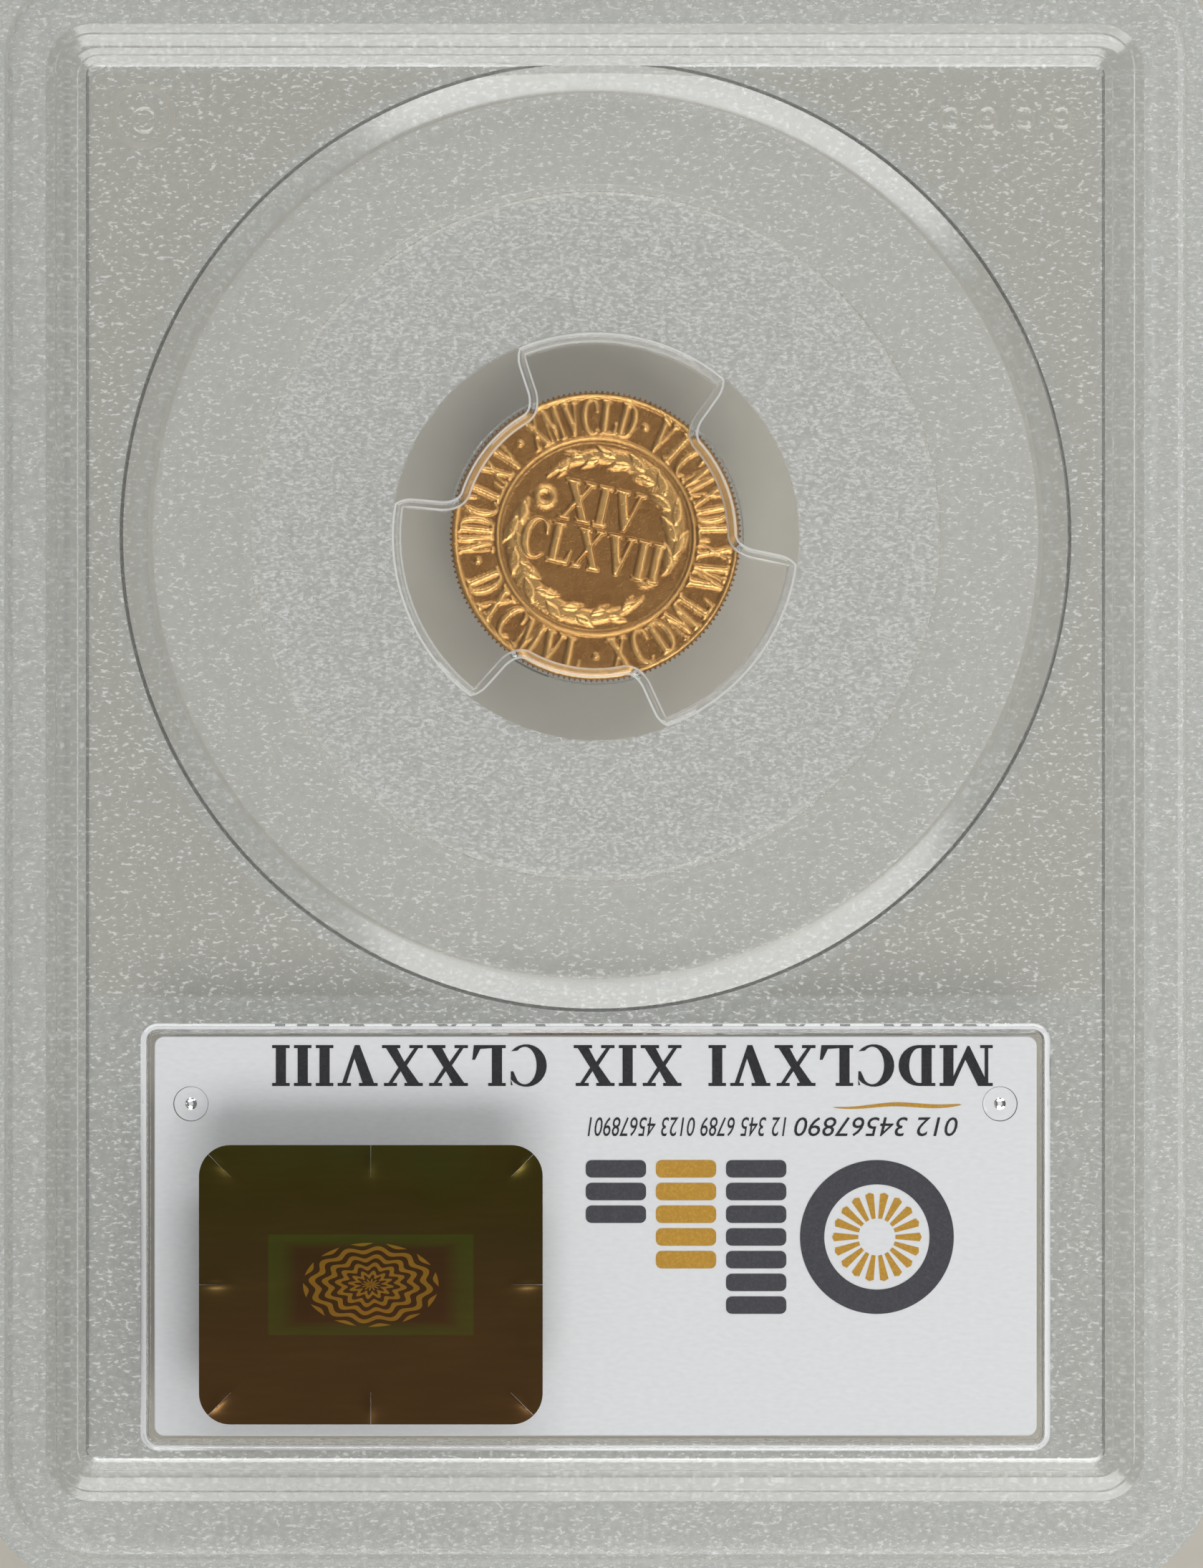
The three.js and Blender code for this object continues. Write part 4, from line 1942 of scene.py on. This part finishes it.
@dataclass
class LabelCard:
    """Printed card, with numerals, a line of digits and a plain device on both sides."""

    ink_mm: float = 0.012
    ink_gap: float = 0.004
    bar_size: tuple[float, float, float] = (3.1, 0.9, 0.3)
    middle: Vector = field(default_factory=lambda: centre_mm("label_card"))

    def stock(self) -> Piece:
        """The card itself, with rounded corners and softened edges.

        Returns:
            The finished piece.
        """
        low, high = corners_mm("label_card")
        outline = Outline((high.x - low.x) / 2, (high.y - low.y) / 2, 0.5, self.middle.x, self.middle.y)
        levels = [(-0.04, low.z), (0, low.z + 0.05), (0, high.z - 0.05), (-0.04, high.z)]
        card = stepped(outline, levels, 8)
        card.name = "label_card_stock"
        card.data.materials.append(CardStock().build())
        soften(card.data)
        card.data.transform(Matrix.Scale(MM, 4))
        return place(card, "card_stock", "label_card")

    def set_on(self, side: Print, piece: Piece, x: float, y: float) -> Piece:
        """Turns a flat layout onto one side of the card.

        Args:
            side: Which side it is printed on.
            piece: The layout, with its lower left corner at the origin.
            x: Where that corner goes, across the holder.
            y: Where that corner goes, along the holder.

        Returns:
            The same object, in place.
        """
        low, high = corners_mm("label_card")
        face = high.z + self.ink_gap if side is Print.BACK else low.z - self.ink_gap
        sx, sy, sz = side.value
        piece.data.transform(Matrix.Translation((x, y, face)) @ Matrix.Diagonal((sx, sy, sz, 1)))
        close_up(piece.data)
        return piece

    def heading(self, side: Print) -> Piece:
        """The bold line of numerals along the card's top."""
        text = filled(NUMERALS.line("MDCLXVI XIX CLXXVIII", 37.0, 2.1), 0, self.ink_mm)
        return self.set_on(side, text, 20.4 * -side.value[0], -14.5)

    def small_line(self, side: Print) -> list[Piece]:
        """The small sloping digits under the heading, the first group wider than the rest.

        Args:
            side: Which side it is printed on.

        Returns:
            The two groups.
        """
        made = []
        for text, wide, x in (("012 34567890", 8.4, -18.6), ("12 345 6789 0123 45678901", 10.2, -9.8)):
            group = digits(text, wide, 0.98, 0, self.ink_mm, 0.22)
            made.append(self.set_on(side, group, x * side.value[0], -18.2))
        return made

    def brush_stroke(self, side: Print) -> Piece:
        """A tapering ochre stroke over the small line.

        Args:
            side: Which side it is printed on.

        Returns:
            The stroke.
        """
        length, height = 6.6, 0.2
        along = np.linspace(0, 1, 40)
        wave = 0.07 * np.sin(9 * along) + 0.12 * along
        half = 0.13 * np.sin(math.pi * along) ** 0.4 * (1 - 0.45 * along)
        top = [(length * t, height + w + h) for t, w, h in zip(along, wave, half)]
        low = [(length * t, height + w - h) for t, w, h in zip(along, wave, half)]
        stroke = filled([top + low[::-1]], 0, self.ink_mm)
        return self.set_on(side, stroke, -18.8 * side.value[0], -17.35)

    def bar(self) -> Piece:
        """One flat bar with rounded ends, standing for a coin seen from its edge."""
        wide, tall, corner = self.bar_size
        return filled([Outline(wide / 2, tall / 2, corner, wide / 2, tall / 2).points(5)], 0, self.ink_mm)

    def device(self, side: Print, charcoal: Material, ochre: Material) -> list[Piece]:
        """A rayed disc in a heavy ring, beside three stacks of bars.

        Args:
            side: Which side it is printed on.
            charcoal: The dark ink.
            ochre: The bright ink.

        Returns:
            The ring, the rays and the stacks.
        """
        sign = side.value[0]
        left, foot, size = -18.4 * sign, -20.4, 7.9
        ring = [Ring(size / 2 - inset, size / 2, size / 2).points(24) for inset in (0, 1.25)]
        made = [self.set_on(side, filled(ring, 0, self.ink_mm), left, foot)]
        made[0].data.materials.append(charcoal)
        ray = filled([[(0, -0.10), (1.25, -0.22), (1.35, 0), (1.25, 0.22), (0, 0.10)]], 0, self.ink_mm)
        rays = copies_round(ray, 18, 0.95, ochre, "rays")
        rays.data.transform(Matrix.Translation((size / 2, size / 2, 0)))
        made.append(self.set_on(side, rays, left, foot))
        for k, (count, offset) in enumerate(((7, 8.6), (5, 12.2), (3, 15.8))):
            colour = ochre if k == 1 else charcoal
            stack = copies_along(self.bar(), count, (0, 1.166, 0), colour, "stack")
            made.append(self.set_on(side, stack, left + sign * offset, foot))
        return made

    def build(self) -> list[Piece]:
        """Makes the card and its print.

        Returns:
            The finished pieces.
        """
        dark, charcoal, ochre = DARK_INK.build(), CHARCOAL_INK.build(), OCHRE_INK.build()
        made = [self.stock()]
        for side in Print:
            inked = [self.heading(side), *self.small_line(side)]
            for text in inked:
                text.data.materials.clear()
                text.data.materials.append(dark)
            stroke = self.brush_stroke(side)
            stroke.data.materials.append(ochre)
            parts = [*inked, stroke, *self.device(side, charcoal, ochre)]
            sheet = joined(f"print_{side.name.lower()}", parts)
            sheet.data.transform(Matrix.Scale(MM, 4))
            made.append(place(sheet, "card_stock"))
        return made


# ---------------------------------------------------------------------------------------
# Seal
# ---------------------------------------------------------------------------------------
@dataclass
class SecuritySeal:
    """Foil patch with eight slits from its edge, puckered a little beside each."""

    corner: float = 1.6
    thick: float = 0.05
    slit: float = 1.65
    pucker: float = 0.1
    cells: tuple[int, int] = (150, 124)

    def slits(self, x: float, y: float) -> list[tuple[float, float, float]]:
        """Where the slits start and how they run.

        Args:
            x: Half of the seal's width.
            y: Half of its length.

        Returns:
            Outer end and inward direction of each, in the seal's own frame.
        """
        inset = self.corner * (1 - math.sqrt(0.5))
        sides = [(x, 0, 180), (-x, 0, 0), (0, y, 270), (0, -y, 90)]
        corners = [(sx * (x - inset), sy * (y - inset), math.degrees(math.atan2(-sy, -sx)))
                   for sx in (1, -1) for sy in (1, -1)]
        return sides + corners

    def lift(self, u: np.ndarray, v: np.ndarray, slits: list[tuple[float, float, float]]) -> np.ndarray:
        """How far the foil stands off the window.

        Args:
            u: Points across, in the seal's own frame.
            v: Points along.
            slits: The slits, whose edges are puckered.

        Returns:
            One height for each point.
        """
        height = 0.008 * np.sin(0.9 * u + 1.3) * np.sin(1.1 * v + 0.4) + 0.008
        for sx, sy, degrees in slits:
            c, s = math.cos(math.radians(degrees)), math.sin(math.radians(degrees))
            along = (u - sx) * c + (v - sy) * s
            across = -(u - sx) * s + (v - sy) * c
            length = np.exp(-((along - 0.5 * self.slit) / (0.42 * self.slit)) ** 2)
            width = np.exp(-(np.abs(across) / 0.27))
            height = height + self.pucker * length * width
        return height

    def sheet(self, x: float, y: float, slits: list[tuple[float, float, float]]) -> Piece:
        """A thin closed sheet, larger than the seal, that follows its puckers.

        Args:
            x: Half of the seal's width.
            y: Half of its length.
            slits: The slits, whose edges are puckered.

        Returns:
            The sheet.
        """
        columns, rows = self.cells
        spare = 0.3
        u, v = np.meshgrid(np.linspace(-x - spare, x + spare, columns),
                           np.linspace(-y - spare, y + spare, rows))
        top = self.lift(u, v, slits) + self.thick
        count = columns * rows
        points = np.concatenate([np.stack([u, v, top], -1).reshape(-1, 3),
                                 np.stack([u, v, top - self.thick], -1).reshape(-1, 3)])
        index = np.arange(count).reshape(rows, columns)
        quads = np.stack([index[:-1, :-1], index[:-1, 1:], index[1:, 1:], index[1:, :-1]], -1).reshape(-1, 4)
        rim = [*index[0, :-1], *index[:-1, -1], *index[-1, :0:-1], *index[:0:-1, 0]]
        sides = [[a, a + count, b + count, b] for a, b in zip(rim, rim[1:] + rim[:1])]
        faces = quads.tolist() + (quads[:, ::-1] + count).tolist()
        faces += [[int(i) for i in side[::-1]] for side in sides]
        mesh = bpy.data.meshes.new("seal_sheet")
        mesh.from_pydata(points.tolist(), [], faces)
        close_up(mesh)
        return new_object("seal_sheet", mesh)

    def build(self) -> Piece:
        """Makes the seal.

        Returns:
            The finished piece.
        """
        low, high = corners_mm("security_seal")
        middle = (low + high) / 2
        x, y = (high.x - low.x) / 2, (high.y - low.y) / 2
        slits = self.slits(x, y)
        trim = Outline(x, y, self.corner)
        section = [(-0.4, -0.009), (-0.4, 0.009), (self.slit, 0.003), (self.slit, -0.003)]
        steps = []
        for sx, sy, degrees in slits:
            wedge = filled([section], -2, 2)
            inwards = Matrix.Rotation(math.radians(degrees), 4, "Z")
            wedge.data.transform(Matrix.Translation((sx, sy, 0)) @ inwards)
            steps.append((Cut.TAKE, wedge))
        blank = carve(loft([(trim, -1.0), (trim, 1.0)], 12), steps)
        seal = carve(self.sheet(x, y, slits), [(Cut.KEEP, blank)])
        seal.name = seal.data.name = "security_seal_foil"
        seal.data.materials.clear()
        seal.data.materials.append(SealFoil(middle, (x, y)).build())
        soften(seal.data, 30)
        seal.data.transform(Matrix.Scale(MM, 4) @ Matrix.Translation((middle.x, middle.y, low.z)))
        return place(seal, "seal_foil", "security_seal")


# ---------------------------------------------------------------------------------------
# Studio
# ---------------------------------------------------------------------------------------
@dataclass
class Studio:
    """Pale paper, soft boxes beyond both ends and at one side, and a camera straight above."""

    view_centre: Point2 = (0.31, -1.10)
    view_height: float = 80.2
    camera_up: float = 900.0
    key_watts: float = 2.9
    fill_watts: float = 1.55
    side_watts: float = 0.44
    key_size: Point2 = (0.66, 0.32)
    fill_size: Point2 = (0.66, 0.15)
    side_size: Point2 = (0.3, 0.2)
    box_place: Vector = field(default_factory=lambda: Vector((0.08, 0.45, 0.55)))
    side_place: Vector = field(default_factory=lambda: Vector((0.32, 0.02, 0.15)))
    room_greys: tuple[Point2, ...] = ((0.0, 0.19), (0.35, 0.21), (0.7, 0.24), (1.0, 0.23))
    room_sides: float = 0.6
    paper_side: float = 1.6
    paper_gap: float = 0.03

    def paper(self) -> None:
        """Lays the paper just under the holder."""
        shape = bmesh.new()
        bmesh.ops.create_grid(shape, x_segments=8, y_segments=8, size=self.paper_side / 2)
        sheet = from_bmesh("paper", shape)
        sheet.data.transform(Matrix.Translation((0, 0, CAD_BOX[0].z - self.paper_gap * MM)))
        sheet.data.materials.append(StudioPaper().build())

    def soft_box(self, name: str, place: Vector, size: Point2, watts: float) -> None:
        """Stands one soft box beside the holder, facing it.

        Args:
            name: The light's name.
            place: Where its middle is, in metres.
            size: Its width and height, in metres.
            watts: Its power.
        """
        lamp = bpy.data.lights.new(name, "AREA")
        lamp.shape = "RECTANGLE"
        lamp.size, lamp.size_y = size
        lamp.energy = watts
        holder = bpy.data.objects.new(name, lamp)
        bpy.context.scene.collection.objects.link(holder)
        holder.location = place
        holder.rotation_euler = (-holder.location).to_track_quat("-Z", "Y").to_euler()

    def room(self) -> bpy.types.World:
        """A grey room that is darker beyond the holder's long sides.

        Returns:
            The world.
        """
        world = bpy.data.worlds.new("room")
        world.use_nodes = True
        nodes, links = world.node_tree.nodes, world.node_tree.links
        back = nodes["Background"].inputs
        way = nodes.new("ShaderNodeSeparateXYZ")
        links.new(nodes.new("ShaderNodeTexCoord").outputs["Generated"], way.inputs["Vector"])
        ramp = nodes.new("ShaderNodeValToRGB")
        while len(ramp.color_ramp.elements) < len(self.room_greys):
            ramp.color_ramp.elements.new(0.5)
        for element, (position, grey) in zip(ramp.color_ramp.elements, self.room_greys):
            element.position = position
            element.color = (grey, grey, grey, 1)
        links.new(way.outputs["Z"], ramp.inputs["Fac"])
        ends = nodes.new("ShaderNodeMath")
        ends.operation = "ABSOLUTE"
        links.new(way.outputs["Y"], ends.inputs[0])
        share = nodes.new("ShaderNodeMapRange")
        share.inputs["To Min"].default_value = self.room_sides
        links.new(ends.outputs["Value"], share.inputs["Value"])
        links.new(share.outputs["Result"], back["Strength"])
        links.new(ramp.outputs["Color"], back["Color"])
        return world

    def camera(self) -> None:
        """Hangs the camera over the holder."""
        lens = bpy.data.cameras.new("camera")
        lens.sensor_width = 36.0
        lens.lens = lens.sensor_width * self.camera_up / self.view_height
        lens.clip_start, lens.clip_end = 0.05, 10
        eye = bpy.data.objects.new("camera", lens)
        bpy.context.scene.collection.objects.link(eye)
        x, y = self.view_centre
        eye.location = (x * MM, y * MM, (THICKNESS + self.camera_up) * MM)
        bpy.context.scene.camera = eye

    def build(self) -> None:
        """Sets up paper, lights, room and camera."""
        self.paper()
        opposite = Vector((self.box_place.x, -self.box_place.y, self.box_place.z))
        self.soft_box("key_box", opposite, self.key_size, self.key_watts)
        self.soft_box("fill_box", self.box_place, self.fill_size, self.fill_watts)
        self.soft_box("side_box", self.side_place, self.side_size, self.side_watts)
        bpy.context.scene.world = self.room()
        bpy.context.scene.view_settings.view_transform = "Standard"
        self.camera()


def main() -> None:
    """Builds the holder piece by piece, then the studio."""
    logging.basicConfig(level=logging.INFO, format="%(name)s %(message)s")
    Studio().build()
    for finish in (POLISHED, EDGE_CLEAR, SEAM, PEBBLED, RIM_SKIN, UNDERSIDE_SKIN, FROSTED, INSERT_CLEAR,
                   FINE_FROST, LIP_HIGHLIGHT):
        CLEAR[finish] = finish.build()
    for side in Side:
        ShellHalf(side).build()
    CoinInsert().build()
    StruckCoin().build()
    LabelCard().build()
    SecuritySeal().build()


if __name__ == "__main__":
    main()
